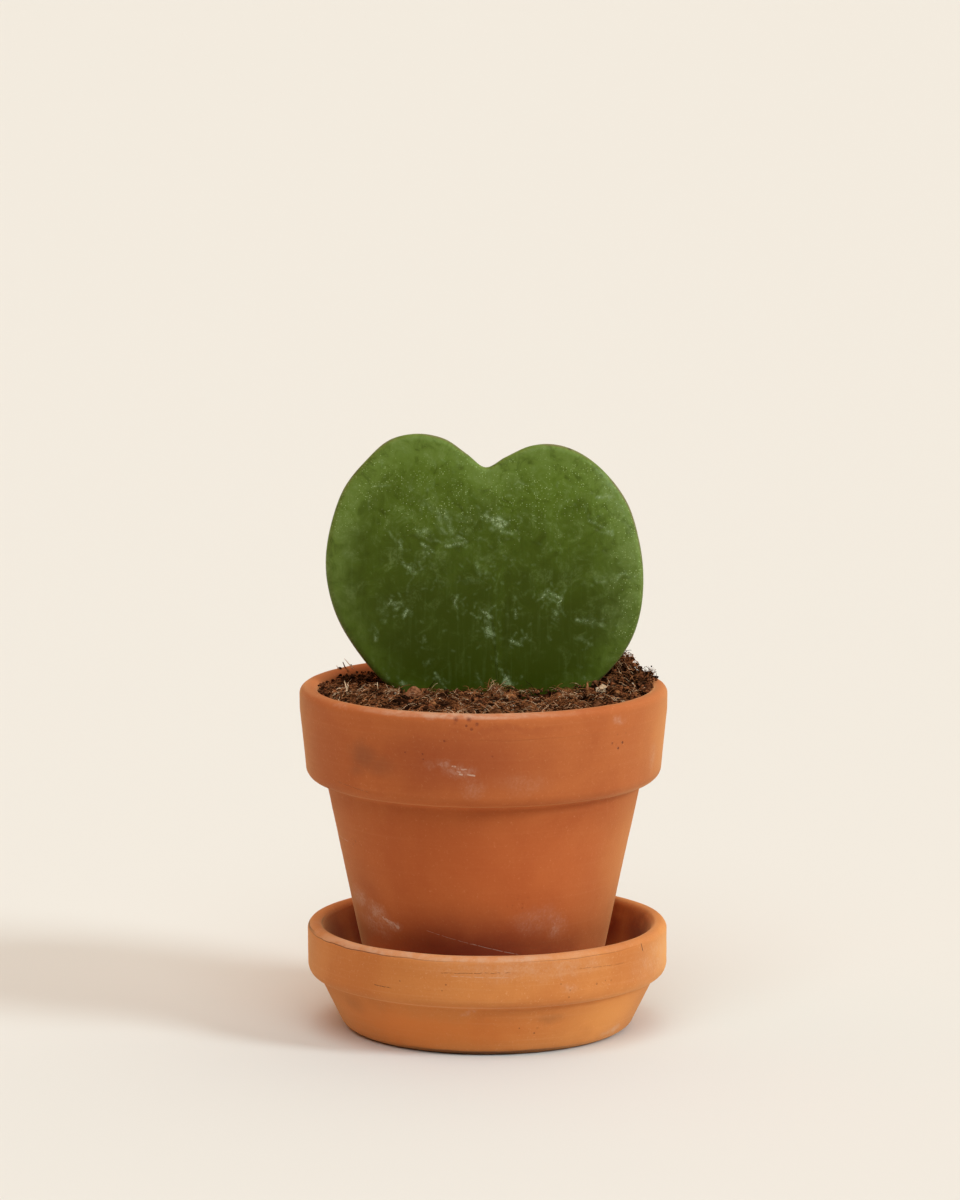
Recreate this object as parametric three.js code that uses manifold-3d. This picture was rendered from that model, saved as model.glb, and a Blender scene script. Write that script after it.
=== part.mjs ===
// A single heart-shaped hoya leaf standing in potting soil, in a banded clay pot on a clay saucer.
// Millimetres, +Z up, -Y towards the viewer. The origin is the centre of the saucer's flat base.
import * as THREE from 'three';
import { mergeVertices } from 'three/addons/utils/BufferGeometryUtils.js';
import Module from 'manifold-3d';

const wasm = await Module();
wasm.setup();

// ---- Driving dimensions ----------------------------------------------------------------------
const TURN_STEPS = 48;            // sides of every turned piece
const GAP = 0.3;                  // clearance round a piece that sits in another one

// Saucer: radii from its own axis, heights from the table.
const SAUCER_BASE_R = 34.9;
const SAUCER_BASE_ROUND = 4.0;
const SAUCER_NECK_R = 41.4;       // where the cone of the body meets the band
const SAUCER_NECK_Z = 13.2;
const SAUCER_NECK_ROUND = 1.0;
const SAUCER_BAND_Z = 13.3;
const SAUCER_BAND_R = 44.05;
const SAUCER_BAND_ROUND = 2.9;
const SAUCER_RIM_R = 44.2;
const SAUCER_RIM_Z = 26.1;
const SAUCER_RIM_ROUND = 1.8;
const SAUCER_MOUTH_R = 40.5;      // inner edge of the rim
const SAUCER_FLOOR_Z = 5.5;
const SAUCER_FLOOR_R = 36.0;
const SAUCER_FLOOR_ROUND = 3.0;

// Pot: radii from its own axis, heights from the table. It stands a little off the saucer's centre.
const POT_X = -0.9;
const POT_FOOT_R = 26.9;
const POT_FOOT_ROUND = 1.2;
const POT_NECK_R = 38.6;          // where the cone of the body meets the band
const POT_NECK_Z = 61.4;
const POT_NECK_ROUND = 1.4;
const POT_BAND_Z = 62.1;
const POT_BAND_R = 43.2;
const POT_BAND_ROUND = 3.2;
const POT_BELLY_R = 44.9;         // the band leans out up to here, then stands upright
const POT_BELLY_Z = 78.9;
const POT_BELLY_ROUND = 6.0;
const POT_RIM_R = 45.0;
const POT_RIM_Z = 84.7;
const POT_RIM_ROUND = 2.05;
const POT_MOUTH_R = 40.8;         // inner edge of the rim
const POT_SHOULDER_R = 35.2;      // inner wall, level with the foot of the band
const POT_FLOOR_THICK = 6.0;
const POT_FLOOR_Z = SAUCER_FLOOR_Z + POT_FLOOR_THICK;
const POT_FLOOR_R = 24.0;
const POT_FLOOR_ROUND = 4.0;
const DRAIN_R = 6.0;

// Leaf: across the pot (x from the pot's axis) and up (z from the table), drawn flat.
const LEAF_OUTLINE = [
  // right lobe, from the notch round to the soil
  [0.5, 137.6], [5.5, 140.3], [11.5, 143.0], [17.5, 143.3], [23.5, 141.3], [29.5, 136.5],
  [34.5, 129.2], [37.6, 120.5], [38.8, 111.5], [38.0, 102.5], [35.4, 94.9], [30.8, 88.0],
  // narrow end in the soil, down to the swollen foot of the leaf stalk
  [24.0, 81.8], [15.5, 76.2], [9.2, 72.0], [8.3, 68.0], [8.7, 63.0],
  [6.2, 60.8], [3.6, 62.8], [3.8, 68.0], [2.4, 72.0], [-6.0, 75.4], [-16.0, 79.6],
  // left lobe, from the soil back up to the notch
  [-24.3, 84.8], [-31.3, 92.9], [-35.8, 100.6], [-38.1, 108.5], [-38.5, 115.5], [-37.2, 123.8],
  [-34.0, 132.6], [-29.0, 139.2], [-23.0, 144.2], [-16.0, 146.0], [-9.5, 144.6], [-4.0, 140.9],
];
const LEAF_STEPS = 72;            // points round the finished outline
const LEAF_HEART = [1.5, 108.0];  // the middle that the blade swells towards
const LEAF_MIDRIB = 3.0;          // x that the blade bends back from, on both sides
const LEAF_Y = 0.5;               // where the leaf passes through the soil's surface
const LEAF_LEAN = 0.045;          // it leans back by this much for each millimetre up
const LEAF_BEND = 0.0015;         // its sides bend back by this times their distance squared
const LEAF_EDGE_HALF = 1.5;       // half thickness just inside the rounded margin
const LEAF_HEART_HALF = 2.1;      // half thickness in the middle
const LEAF_MARGIN = 1.6;          // width of the rounded margin

// Soil surface, and what lies on it (x, y from the pot's axis, turns in radians from +x).
const SOIL_Z = 82.7;
const MOUND = { x: 32, y: 12, high: 7.6, wide: 10.5 };
const HOLLOW = { x: -28, y: 26, high: -4.6, wide: 12 };
const SOIL_STEPS = 32;            // sides of the mass of soil
const SOIL_RINGS = [38.5, 35.0, 30.0, 25.0, 20.0, 15.0, 10.0, 5.0];
const SOIL_ROUGH = 0.6;           // the surface rises and falls by this much at random
const CLODS = { count: 22, size: [3.0, 4.6], sunk: 0.5 };
const CRUMBS = { count: 125, size: [1.6, 3.0] };
const FIBRES = { count: 24, length: [4.0, 8.0], lift: [0.25, 1.2] };
const RIM_FIBRES = { count: 4, r: 38.2, turn: [2.28, 2.5], length: [8.5, 11.5], lift: 1.35 };
const FIBRE_R = 0.42;
const FIBRE_ROOT = 1.6;           // how deep a fibre starts
const FIBRE_DROOP = 0.4;          // how far a fibre's tip sinks, for its reach outwards
const LUMP_SPREAD = [0.72, 1.22]; // how far in or out a lump's corners are pushed
const LUMP_SQUASH = 0.82;         // a lump lies flatter than it is wide
const SOIL_SEED = 41;
const BARK = { x: -17.2, y: -4.9, size: 2.1, proud: 0.35, seed: 5 };
const PERLITE = { x: 28.6, y: -4.6, size: 1.7, proud: 0.35, seed: 8 };

// ---- Finishes --------------------------------------------------------------------------------
const finish = (color, roughness) => new THREE.MeshStandardMaterial({ color, roughness, metalness: 0 });
const POT_CLAY = finish(0xb9683a, 0.9);
const SAUCER_CLAY = finish(0xcb7f49, 0.9);
const LEAF_GREEN = finish(0x47641c, 0.5);
const SOIL_BROWN = finish(0x4a2f20, 1.0);
const BARK_BROWN = finish(0x6e3f28, 0.95);
const PERLITE_WHITE = finish(0xd8cdb8, 0.95);

// ---- Helpers ---------------------------------------------------------------------------------

// The same run of numbers from 0 to 1 each time for one seed.
function seededDraw(seed) {
  let state = seed;
  return () => {
    state = (state * 1664525 + 1013904223) % 4294967296;
    return state / 4294967296;
  };
}

const between = ([low, high], share) => low + (high - low) * share;

// A section of straight sides whose corners, given as [r, z, round, steps], are rounded by arcs.
function roundedSection(corners) {
  const points = [];
  corners.forEach(([r, z, round = 0, steps = 3], place) => {
    const corner = new THREE.Vector2(r, z);
    if (round === 0) {
      points.push(corner);
      return;
    }
    const [rBefore, zBefore] = corners.at(place - 1);
    const [rAfter, zAfter] = corners[(place + 1) % corners.length];
    const back = new THREE.Vector2(rBefore, zBefore).sub(corner).normalize();
    const onward = new THREE.Vector2(rAfter, zAfter).sub(corner).normalize();
    const half = Math.acos(back.dot(onward)) / 2;
    const reach = round / Math.tan(half);
    const centre = back.clone().add(onward).setLength(round / Math.sin(half)).add(corner);
    const from = back.clone().multiplyScalar(reach).add(corner).sub(centre).angle();
    const to = onward.clone().multiplyScalar(reach).add(corner).sub(centre).angle();
    const sweep = THREE.MathUtils.euclideanModulo(to - from + Math.PI, 2 * Math.PI) - Math.PI;
    for (let step = 0; step <= steps; step += 1) {
      const angle = from + (sweep * step) / steps;
      points.push(new THREE.Vector2(Math.cos(angle), Math.sin(angle)).multiplyScalar(round).add(centre));
    }
  });
  return points;
}

// A section turned about the upright axis.
const turned = (section, steps = TURN_STEPS) => (
  new THREE.LatheGeometry(section, steps).rotateX(Math.PI / 2));

// Only the places of a geometry's points, each point once.
function bare(geometry) {
  geometry.deleteAttribute('normal');
  geometry.deleteAttribute('uv');
  return mergeVertices(geometry, 1e-4);
}

function toSolid(geometry) {
  const points = bare(geometry);
  return new wasm.Manifold(new wasm.Mesh({
    numProp: 3,
    vertProperties: new Float32Array(points.attributes.position.array),
    triVerts: new Uint32Array(points.index.array),
  }));
}

function toGeometry(solid) {
  const mesh = solid.getMesh();
  const geometry = new THREE.BufferGeometry();
  geometry.setAttribute('position', new THREE.BufferAttribute(mesh.vertProperties, 3));
  geometry.setIndex(new THREE.BufferAttribute(mesh.triVerts, 1));
  return geometry.toNonIndexed();
}

const largestBody = (solid) => solid.decompose().reduce((best, body) => (
  body.volume() > best.volume() ? body : best));

function piece(name, geometry, material) {
  geometry.computeVertexNormals();
  const mesh = new THREE.Mesh(geometry, material);
  mesh.name = name;
  return mesh;
}

// ---- Clay ------------------------------------------------------------------------------------

function saucer() {
  return turned(roundedSection([
    [0, 0],
    [SAUCER_BASE_R, 0, SAUCER_BASE_ROUND],
    [SAUCER_NECK_R, SAUCER_NECK_Z, SAUCER_NECK_ROUND, 1],
    [SAUCER_BAND_R, SAUCER_BAND_Z, SAUCER_BAND_ROUND, 4],
    [SAUCER_RIM_R, SAUCER_RIM_Z, SAUCER_RIM_ROUND],
    [SAUCER_MOUTH_R, SAUCER_RIM_Z, SAUCER_RIM_ROUND],
    [SAUCER_FLOOR_R, SAUCER_FLOOR_Z, SAUCER_FLOOR_ROUND],
    [0, SAUCER_FLOOR_Z],
  ]));
}

function pot() {
  const section = roundedSection([
    [DRAIN_R, SAUCER_FLOOR_Z],
    [POT_FOOT_R, SAUCER_FLOOR_Z, POT_FOOT_ROUND, 2],
    [POT_NECK_R, POT_NECK_Z, POT_NECK_ROUND, 2],
    [POT_BAND_R, POT_BAND_Z, POT_BAND_ROUND, 4],
    [POT_BELLY_R, POT_BELLY_Z, POT_BELLY_ROUND, 1],
    [POT_RIM_R, POT_RIM_Z, POT_RIM_ROUND],
    [POT_MOUTH_R, POT_RIM_Z, POT_RIM_ROUND],
    [POT_SHOULDER_R, POT_NECK_Z],
    [POT_FLOOR_R, POT_FLOOR_Z, POT_FLOOR_ROUND],
    [DRAIN_R, POT_FLOOR_Z],
  ]);
  return turned([...section, section[0].clone()]);
}

// What the soil has to keep clear of: the inside and the top of the pot's wall.
function wallGuard() {
  const section = roundedSection([
    [POT_SHOULDER_R - GAP, POT_NECK_Z],
    [POT_RIM_R + POT_RIM_ROUND, POT_NECK_Z],
    [POT_RIM_R + POT_RIM_ROUND, POT_RIM_Z + GAP],
    [POT_MOUTH_R - GAP, POT_RIM_Z + GAP, POT_RIM_ROUND + GAP],
  ]);
  return turned([...section, section[0].clone()]);
}

// ---- Leaf ------------------------------------------------------------------------------------

// The leaf with its stalk, or, grown by the gap, the room that the soil leaves for it.
function leaf(grown = 0) {
  const loop = new THREE.CatmullRomCurve3(
    LEAF_OUTLINE.map(([x, z]) => new THREE.Vector3(x, 0, z)), true, 'centripetal');
  const rim = [];
  for (let step = 0; step < LEAF_STEPS; step += 1) {
    const along = loop.getTangentAt(step / LEAF_STEPS);
    const inward = new THREE.Vector3(along.z, 0, -along.x);
    rim.push({ at: loop.getPointAt(step / LEAF_STEPS).addScaledVector(inward, -grown), inward });
  }
  const heart = new THREE.Vector3(LEAF_HEART[0], 0, LEAF_HEART[1]);

  // Each ring lies inside the last one: how far in from the margin, how near the middle, how thick.
  const rings = [0, 0.22, 0.6, 1].map((share) => ({
    inset: LEAF_MARGIN * share,
    near: 0,
    half: (LEAF_EDGE_HALF + grown) * Math.sqrt(1 - (1 - share) ** 2),
  }));
  [0.25, 0.52, 0.78, 1].forEach((near) => rings.push({
    inset: LEAF_MARGIN,
    near,
    half: grown + LEAF_EDGE_HALF + (LEAF_HEART_HALF - LEAF_EDGE_HALF) * (1 - (1 - near) ** 2),
  }));

  const points = [];
  function ringOfPoints({ inset, near, half }, side) {
    const ends = near === 1 ? rim.slice(0, 1) : rim;
    return ends.map(({ at, inward }) => {
      const spot = at.clone().addScaledVector(inward, inset).lerp(heart, near);
      const middle = LEAF_Y + LEAF_LEAN * (spot.z - SOIL_Z) + LEAF_BEND * (spot.x - LEAF_MIDRIB) ** 2;
      points.push(spot.x, middle + side * half, spot.z);
      return points.length / 3 - 1;
    });
  }
  const faces = [];
  function band(outer, inner, side) {
    for (let step = 0; step < LEAF_STEPS; step += 1) {
      const next = (step + 1) % LEAF_STEPS;
      const corners = inner.length === 1
        ? [[outer[step], outer[next], inner[0]]]
        : [[outer[step], outer[next], inner[next]], [outer[step], inner[next], inner[step]]];
      corners.forEach(([a, b, c]) => faces.push(...(side < 0 ? [a, c, b] : [a, b, c])));
    }
  }
  const margin = ringOfPoints(rings[0], 0);
  [-1, 1].forEach((side) => rings.slice(1).reduce((outer, ring) => {
    const inner = ringOfPoints(ring, side);
    band(outer, inner, side);
    return inner;
  }, margin));

  const geometry = new THREE.BufferGeometry();
  geometry.setAttribute('position', new THREE.Float32BufferAttribute(points, 3));
  geometry.setIndex(faces);
  return geometry;
}

// ---- Soil ------------------------------------------------------------------------------------

const hill = ({ x, y, high, wide }, px, py) => (
  high * Math.exp(-((px - x) ** 2 + (py - y) ** 2) / (wide * wide)));

const soilHeight = (x, y) => SOIL_Z + hill(MOUND, x, y) + hill(HOLLOW, x, y);

// The mass of soil that fills the pot, with a rough top.
function soilBody(draw) {
  const wallSlope = (POT_MOUTH_R - POT_SHOULDER_R) / (POT_RIM_Z - POT_NECK_Z);
  const edgeR = POT_SHOULDER_R + wallSlope * (SOIL_Z - POT_NECK_Z) - GAP;
  const geometry = bare(turned(roundedSection([
    [0, POT_FLOOR_Z],
    [POT_FLOOR_R - GAP, POT_FLOOR_Z, POT_FLOOR_ROUND + GAP],
    [POT_SHOULDER_R - GAP, POT_NECK_Z],
    [edgeR, SOIL_Z],
    ...SOIL_RINGS.map((r) => [r, SOIL_Z]),
    [0, SOIL_Z],
  ]), SOIL_STEPS));
  const spots = geometry.attributes.position;
  for (let i = 0; i < spots.count; i += 1) {
    if (spots.getZ(i) > SOIL_Z - 0.01) {
      const rough = SOIL_ROUGH * (2 * draw() - 1);
      spots.setZ(i, soilHeight(spots.getX(i), spots.getY(i)) + rough);
    }
  }
  return toSolid(geometry);
}

// A broken lump with flat faces, from an even solid whose corners are pushed in and out.
function lump(evenSolid, at, draw) {
  const geometry = bare(evenSolid);
  const spots = geometry.attributes.position;
  for (let i = 0; i < spots.count; i += 1) {
    const spread = between(LUMP_SPREAD, draw());
    spots.setXYZ(i, spots.getX(i) * spread, spots.getY(i) * spread, spots.getZ(i) * spread * LUMP_SQUASH);
  }
  return geometry.rotateZ(2 * Math.PI * draw()).translate(at.x, at.y, at.z);
}

// A stiff thread that starts inside the soil, rises and leans over towards its tip.
function fibre(root, length, turn, lift) {
  const flat = Math.cos(lift);
  const out = new THREE.Vector3(Math.cos(turn) * flat, Math.sin(turn) * flat, Math.sin(lift));
  const tip = root.clone().addScaledVector(out, length);
  tip.z -= length * flat * FIBRE_DROOP;
  const path = new THREE.QuadraticBezierCurve3(
    root.clone().addScaledVector(out, -FIBRE_ROOT),
    root.clone().addScaledVector(out, length / 2),
    tip,
  );
  const section = new THREE.Shape([0, 1, 2].map((corner) => {
    const angle = (corner * 2 * Math.PI) / 3;
    return new THREE.Vector2(FIBRE_R * Math.cos(angle), FIBRE_R * Math.sin(angle));
  }));
  return new THREE.ExtrudeGeometry(section, { steps: 3, bevelEnabled: false, extrudePath: path });
}

// A place on the soil's surface, this far from the pot's axis.
function soilSpot(r, turn) {
  const x = r * Math.cos(turn);
  const y = r * Math.sin(turn);
  return new THREE.Vector3(x, y, soilHeight(x, y));
}

// The soil with its clods, crumbs and fibres grown on, cut clear of its neighbours.
function soil(neighbours) {
  const draw = seededDraw(SOIL_SEED);
  const anySpot = () => soilSpot((POT_MOUTH_R - 1) * Math.sqrt(draw()), 2 * Math.PI * draw());
  let whole = soilBody(draw);
  const grow = (geometry) => {
    whole = whole.add(toSolid(geometry));
  };
  for (let count = 0; count < CLODS.count; count += 1) {
    const size = between(CLODS.size, draw());
    const spot = anySpot();
    spot.z -= size * CLODS.sunk;
    grow(lump(new THREE.IcosahedronGeometry(size, 0), spot, draw));
  }
  for (let count = 0; count < CRUMBS.count; count += 1) {
    const size = between(CRUMBS.size, draw() ** 2);
    grow(lump(new THREE.OctahedronGeometry(size, 0), anySpot(), draw));
  }
  for (let count = 0; count < FIBRES.count; count += 1) {
    const length = between(FIBRES.length, draw());
    grow(fibre(anySpot(), length, 2 * Math.PI * draw(), between(FIBRES.lift, draw())));
  }
  for (let count = 0; count < RIM_FIBRES.count; count += 1) {
    const turn = between(RIM_FIBRES.turn, count / (RIM_FIBRES.count - 1));
    const length = between(RIM_FIBRES.length, draw());
    grow(fibre(soilSpot(RIM_FIBRES.r, turn), length, turn + Math.PI * (0.4 + draw()), RIM_FIBRES.lift));
  }
  neighbours.forEach((neighbour) => {
    whole = whole.subtract(toSolid(neighbour));
  });
  return toGeometry(largestBody(whole));
}

// A single lump lying in the soil or, grown by the gap, the hollow that it lies in.
function lyingLump({ x, y, size, proud, seed }, grown = 0) {
  const at = new THREE.Vector3(x, y, soilHeight(x, y) + proud * size);
  return lump(new THREE.IcosahedronGeometry(size + grown, 0), at, seededDraw(seed));
}

// ---- The plant in its pot --------------------------------------------------------------------

const standing = new THREE.Group();
standing.position.x = POT_X;
standing.add(
  piece('pot', pot(), POT_CLAY),
  piece('soil', soil([
    wallGuard(),
    leaf(GAP),
    lyingLump(BARK, GAP),
    lyingLump(PERLITE, GAP),
  ]), SOIL_BROWN),
  piece('hoya_leaf', leaf(), LEAF_GREEN),
  piece('bark_lump', lyingLump(BARK), BARK_BROWN),
  piece('perlite_chip', lyingLump(PERLITE), PERLITE_WHITE),
);

const group = new THREE.Group();
group.add(piece('saucer', saucer(), SAUCER_CLAY), standing);

export default group;
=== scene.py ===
"""A single heart-shaped hoya leaf in a banded clay pot on a clay saucer.

Sizes are in millimetres until a piece is finished, +Z is up and -Y points to the viewer. The origin
is the centre of the saucer's base. The pot and all it holds stand POT_X off that centre.
"""

from functools import partial, reduce
import math
import random

import bmesh
import bpy
from mathutils import Euler, Matrix, Vector, kdtree, noise


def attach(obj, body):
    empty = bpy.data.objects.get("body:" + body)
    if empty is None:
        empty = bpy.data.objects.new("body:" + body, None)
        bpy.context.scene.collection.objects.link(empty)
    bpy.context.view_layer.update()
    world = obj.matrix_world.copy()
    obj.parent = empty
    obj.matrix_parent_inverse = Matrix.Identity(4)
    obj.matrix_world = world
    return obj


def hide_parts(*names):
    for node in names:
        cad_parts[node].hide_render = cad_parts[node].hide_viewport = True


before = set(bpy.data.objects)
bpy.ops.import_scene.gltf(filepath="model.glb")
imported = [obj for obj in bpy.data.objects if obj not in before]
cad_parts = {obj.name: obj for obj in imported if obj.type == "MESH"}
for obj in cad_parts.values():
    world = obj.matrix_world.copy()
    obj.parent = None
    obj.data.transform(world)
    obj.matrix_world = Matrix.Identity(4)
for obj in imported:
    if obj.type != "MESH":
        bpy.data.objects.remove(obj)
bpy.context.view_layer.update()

MM = 0.001
UP = Vector((0, 0, 1))

# ---- Sizes, as in the solid model ----

POT_X = -0.9
GAP = 0.3

# Corners of the turned sections: radius, height, how far the corner is rounded.
SAUCER_FLOOR_Z = 5.5
SAUCER_SECTION = [
    (0, 0),
    (34.9, 0, 4.0),
    (41.4, 13.2, 1.0),
    (44.05, 13.3, 2.9),
    (44.2, 26.1, 1.8),
    (40.5, 26.1, 1.8),
    (36.0, SAUCER_FLOOR_Z, 3.0),
    (0, SAUCER_FLOOR_Z),
]
POT_NECK_Z = 61.4
POT_RIM_Z = 84.7
POT_MOUTH_R = 40.8
POT_SHOULDER_R = 35.2
POT_FLOOR_Z = 11.5
POT_FLOOR_R = 24.0
DRAIN_R = 6.0
POT_SECTION = [
    (DRAIN_R, SAUCER_FLOOR_Z),
    (26.9, SAUCER_FLOOR_Z, 1.2),
    (38.6, POT_NECK_Z, 1.4),
    (43.2, 62.1, 3.2),
    (44.9, 78.9, 6.0),
    (45.0, POT_RIM_Z, 2.05),
    (POT_MOUTH_R, POT_RIM_Z, 2.05),
    (POT_SHOULDER_R, POT_NECK_Z),
    (POT_FLOOR_R, POT_FLOOR_Z, 4.0),
    (DRAIN_R, POT_FLOOR_Z),
]

# The leaf's outline, drawn flat: across from the pot's axis, and up from the table.
LEAF_OUTLINE = [
    # right lobe, from the notch round to the soil
    (0.5, 137.6), (5.4, 140.1), (11.5, 142.8), (17.4, 143.1), (23.3, 141.1), (29.3, 136.5),
    (34.9, 129.0), (37.8, 120.2), (39.0, 111.5), (38.4, 102.3), (35.9, 94.7), (31.0, 87.9),
    # narrow end in the soil, down to the swollen foot of the leaf stalk
    (24.0, 81.8), (15.5, 76.2), (9.2, 72.0), (8.3, 68.0), (8.7, 63.0),
    (6.2, 60.8), (3.6, 62.8), (3.8, 68.0), (2.4, 72.0), (-6.0, 75.4), (-16.0, 79.6),
    # left lobe, from the soil back up to the notch
    (-24.3, 84.8), (-31.3, 92.9), (-35.8, 100.6), (-38.1, 108.5), (-38.5, 115.5),
    (-37.1, 123.8), (-33.9, 132.4), (-28.7, 139.0), (-22.9, 144.1), (-16.2, 145.7),
    (-9.5, 144.5), (-4.0, 140.8),
]
LEAF_HEART = Vector((1.5, 0, 108.0))
LEAF_MIDRIB = 3.0
LEAF_Y = 0.5
LEAF_LEAN = 0.045
LEAF_BEND = 0.0015
LEAF_EDGE_HALF = 1.5
LEAF_HEART_HALF = 2.1
LEAF_MARGIN = 1.6

SOIL_Z = 82.7
MOUND = (32.0, 12.0, 7.6, 10.5)  # x, y, height, width
HOLLOW = (-28.0, 26.0, -4.6, 12.0)
BARK_SPOT = (-17.2, -4.9)
BARK_SIZE = 2.1
PERLITE_SPOT = (28.6, -4.6)
PERLITE_SIZE = 1.7

# ---- Camera, floor and light ----

CAMERA_PLACE = (-1.77, -1257.1, 295.06)
CAMERA_PITCH = 81.42  # degrees from straight down
CAMERA_LENS = 156.62  # for a picture whose long side is 36 mm of film
CAMERA_CLIP = 40  # metres
FLOOR_R = 14000.0
FLOOR_STEPS = 96
FLOOR_TONE = (0.752, 0.736, 0.696, 1)
ROOM_FRONT = (0.03, 0.03, 0.03)
ROOM_BACK = (0.55, 0.53, 0.34)
# Far, wide lights: name, bearing from +X to +Y, height above the floor, width, strength, colour.
SUNS = [
    ("key_light", -27.5, 30, 16, 1.85, (0.79, 0.935, 1.0)),
    ("front_light", -93, 54, 50, 1.76, (0.80, 0.955, 1.0)),
    ("back_light", 45, 50, 90, 0.88, (1.0, 0.66, 0.62)),
    ("left_light", 180, 50, 60, 0.42, (1.0, 0.10, 0.01)),
]


def new_object(name, data):
    obj = bpy.data.objects.new(name, data)
    bpy.context.scene.collection.objects.link(obj)
    return obj


def camera_and_floor():
    camera = bpy.data.cameras.new("camera")
    camera.lens = CAMERA_LENS
    camera.sensor_width = 36
    camera.clip_end = CAMERA_CLIP
    holder = new_object("camera", camera)
    holder.location = Vector(CAMERA_PLACE) * MM
    holder.rotation_euler = (math.radians(CAMERA_PITCH), 0, 0)
    bpy.context.scene.camera = holder

    bm = bmesh.new()
    bmesh.ops.create_circle(bm, cap_ends=True, radius=FLOOR_R * MM, segments=FLOOR_STEPS)
    mesh = bpy.data.meshes.new("floor")
    bm.to_mesh(mesh)
    bm.free()
    paper = {"Base Color": FLOOR_TONE, "Roughness": 0.9, "Specular IOR Level": 0.1}
    mesh.materials.append(new_material("paper", paper)[0])
    new_object("floor", mesh)


def studio_light():
    """A key from the front right, a broad light high in front, a warm one behind at the right, a
    faint red one from the left, and a room that is brighter behind.
    """
    bpy.context.scene.view_settings.view_transform = "Standard"
    for name, bearing, height, width, strength, color in SUNS:
        light = bpy.data.lights.new(name, "SUN")
        light.angle = math.radians(width)
        light.energy = strength
        light.color = color
        turn = (math.radians(90 - height), 0, math.radians(bearing + 90))
        new_object(name, light).rotation_euler = turn
    world = bpy.data.worlds.new("studio")
    bpy.context.scene.world = world
    world.use_nodes = True
    toward = add(world.node_tree, "ShaderNodeTexCoord").outputs["Generated"]
    room = blend(band(axis(toward, "Y"), -1.0, 1.0), ROOM_FRONT, ROOM_BACK)
    fill(world.node_tree.nodes["Background"], {"Color": room})


# ---- Making meshes ----


def place_piece(name, bm, materials, slot, *nodes, smooth=True):
    """A finished mesh in millimetres becomes a piece that stands for these nodes."""
    bm.transform(Matrix.Scale(MM, 4))
    mesh = bpy.data.meshes.new(name)
    bm.to_mesh(mesh)
    bm.free()
    obj = new_object(name, mesh)
    for material in materials:
        mesh.materials.append(material)
    mesh.polygons.foreach_set("use_smooth", [smooth] * len(mesh.polygons))
    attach(obj, "root")
    if nodes:
        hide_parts(*nodes)


SECTOR_DOUBLINGS = 4  # a turned piece is spun for a sixteenth, then doubled round
CORNER_STEPS = 8


def turned(section, turn_steps, cut, middle_x=0.0):
    """A closed shell spun from a section with rounded corners, its sides cut into short steps."""
    bm = bmesh.new()
    spots = [Vector((corner[0], 0, corner[1])) for corner in section]
    verts = [bm.verts.new(spot) for spot in spots]
    pairs = list(zip(verts, verts[1:]))
    if spots[0].x > 0:
        pairs.append((verts[-1], verts[0]))
    for pair in pairs:
        bm.edges.new(pair)
    for place, corner in enumerate(section):
        if len(corner) < 3:
            continue
        back = spots[place - 1] - spots[place]
        onward = spots[(place + 1) % len(spots)] - spots[place]
        reach = corner[2] / math.tan(back.angle(onward) / 2)
        bmesh.ops.bevel(bm, geom=[verts[place]], offset=reach, offset_type="OFFSET",
                        affect="VERTICES", segments=CORNER_STEPS, profile=0.5, material=-1)
    for edge in bm.edges[:]:
        cuts = int(edge.calc_length() / cut)
        if cuts:
            bmesh.ops.subdivide_edges(bm, edges=[edge], cuts=cuts)
    sector = math.tau / 2 ** SECTOR_DOUBLINGS
    bmesh.ops.spin(bm, geom=bm.verts[:] + bm.edges[:], cent=(0, 0, 0), axis=UP,
                   angle=sector, steps=turn_steps // 2 ** SECTOR_DOUBLINGS)
    for _ in range(SECTOR_DOUBLINGS):
        copied = bmesh.ops.duplicate(bm, geom=bm.verts[:] + bm.edges[:] + bm.faces[:])["geom"]
        turn = Matrix.Rotation(sector, 3, UP)
        bmesh.ops.rotate(bm, verts=[v for v in copied if isinstance(v, bmesh.types.BMVert)],
                         cent=(0, 0, 0), matrix=turn)
        sector *= 2
    bmesh.ops.remove_doubles(bm, verts=bm.verts, dist=1e-4)
    bmesh.ops.recalc_face_normals(bm, faces=bm.faces)
    bmesh.ops.translate(bm, verts=bm.verts, vec=(middle_x, 0, 0))
    return bm


def wavy(spot, size, seed):
    """Smooth noise from -1 to 1 whose bumps are about this many millimetres wide."""
    return noise.noise(spot / size + Vector((seed, seed * 0.7, -seed)))


# ---- Making materials ----


def fill(node, inputs):
    """Puts values on a node's inputs, or links them to what feeds them."""
    for name, value in inputs.items():
        if isinstance(value, bpy.types.NodeSocket):
            node.id_data.links.new(value, node.inputs[name])
        else:
            node.inputs[name].default_value = value


def add(tree, kind, inputs=None, **settings):
    """A node with its settings and its inputs."""
    node = tree.nodes.new(kind)
    for name, value in settings.items():
        setattr(node, name, value)
    fill(node, inputs or {})
    return node


def feed(kind, inputs, **settings):
    """A node in the tree of the first output that feeds it."""
    source = next(value for value in inputs.values() if isinstance(value, bpy.types.NodeSocket))
    return add(source.id_data, kind, inputs, **settings)


def calc(operation, *values):
    return feed("ShaderNodeMath", dict(enumerate(values)), operation=operation).outputs[0]


def times(*values):
    return reduce(partial(calc, "MULTIPLY"), values)


def plus(*values):
    return reduce(partial(calc, "ADD"), values)


def most_of(*values):
    return reduce(partial(calc, "MAXIMUM"), values)


def vector(operation, *values):
    return feed("ShaderNodeVectorMath", dict(enumerate(values)), operation=operation).outputs


def band(value, low, high, to_low=0, to_high=1):
    """Nothing below the low value, all of it above the high one, and smooth between them."""
    inputs = {"Value": value, "From Min": low, "From Max": high,
              "To Min": to_low, "To Max": to_high}
    return feed("ShaderNodeMapRange", inputs, interpolation_type="SMOOTHSTEP").outputs[0]


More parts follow.
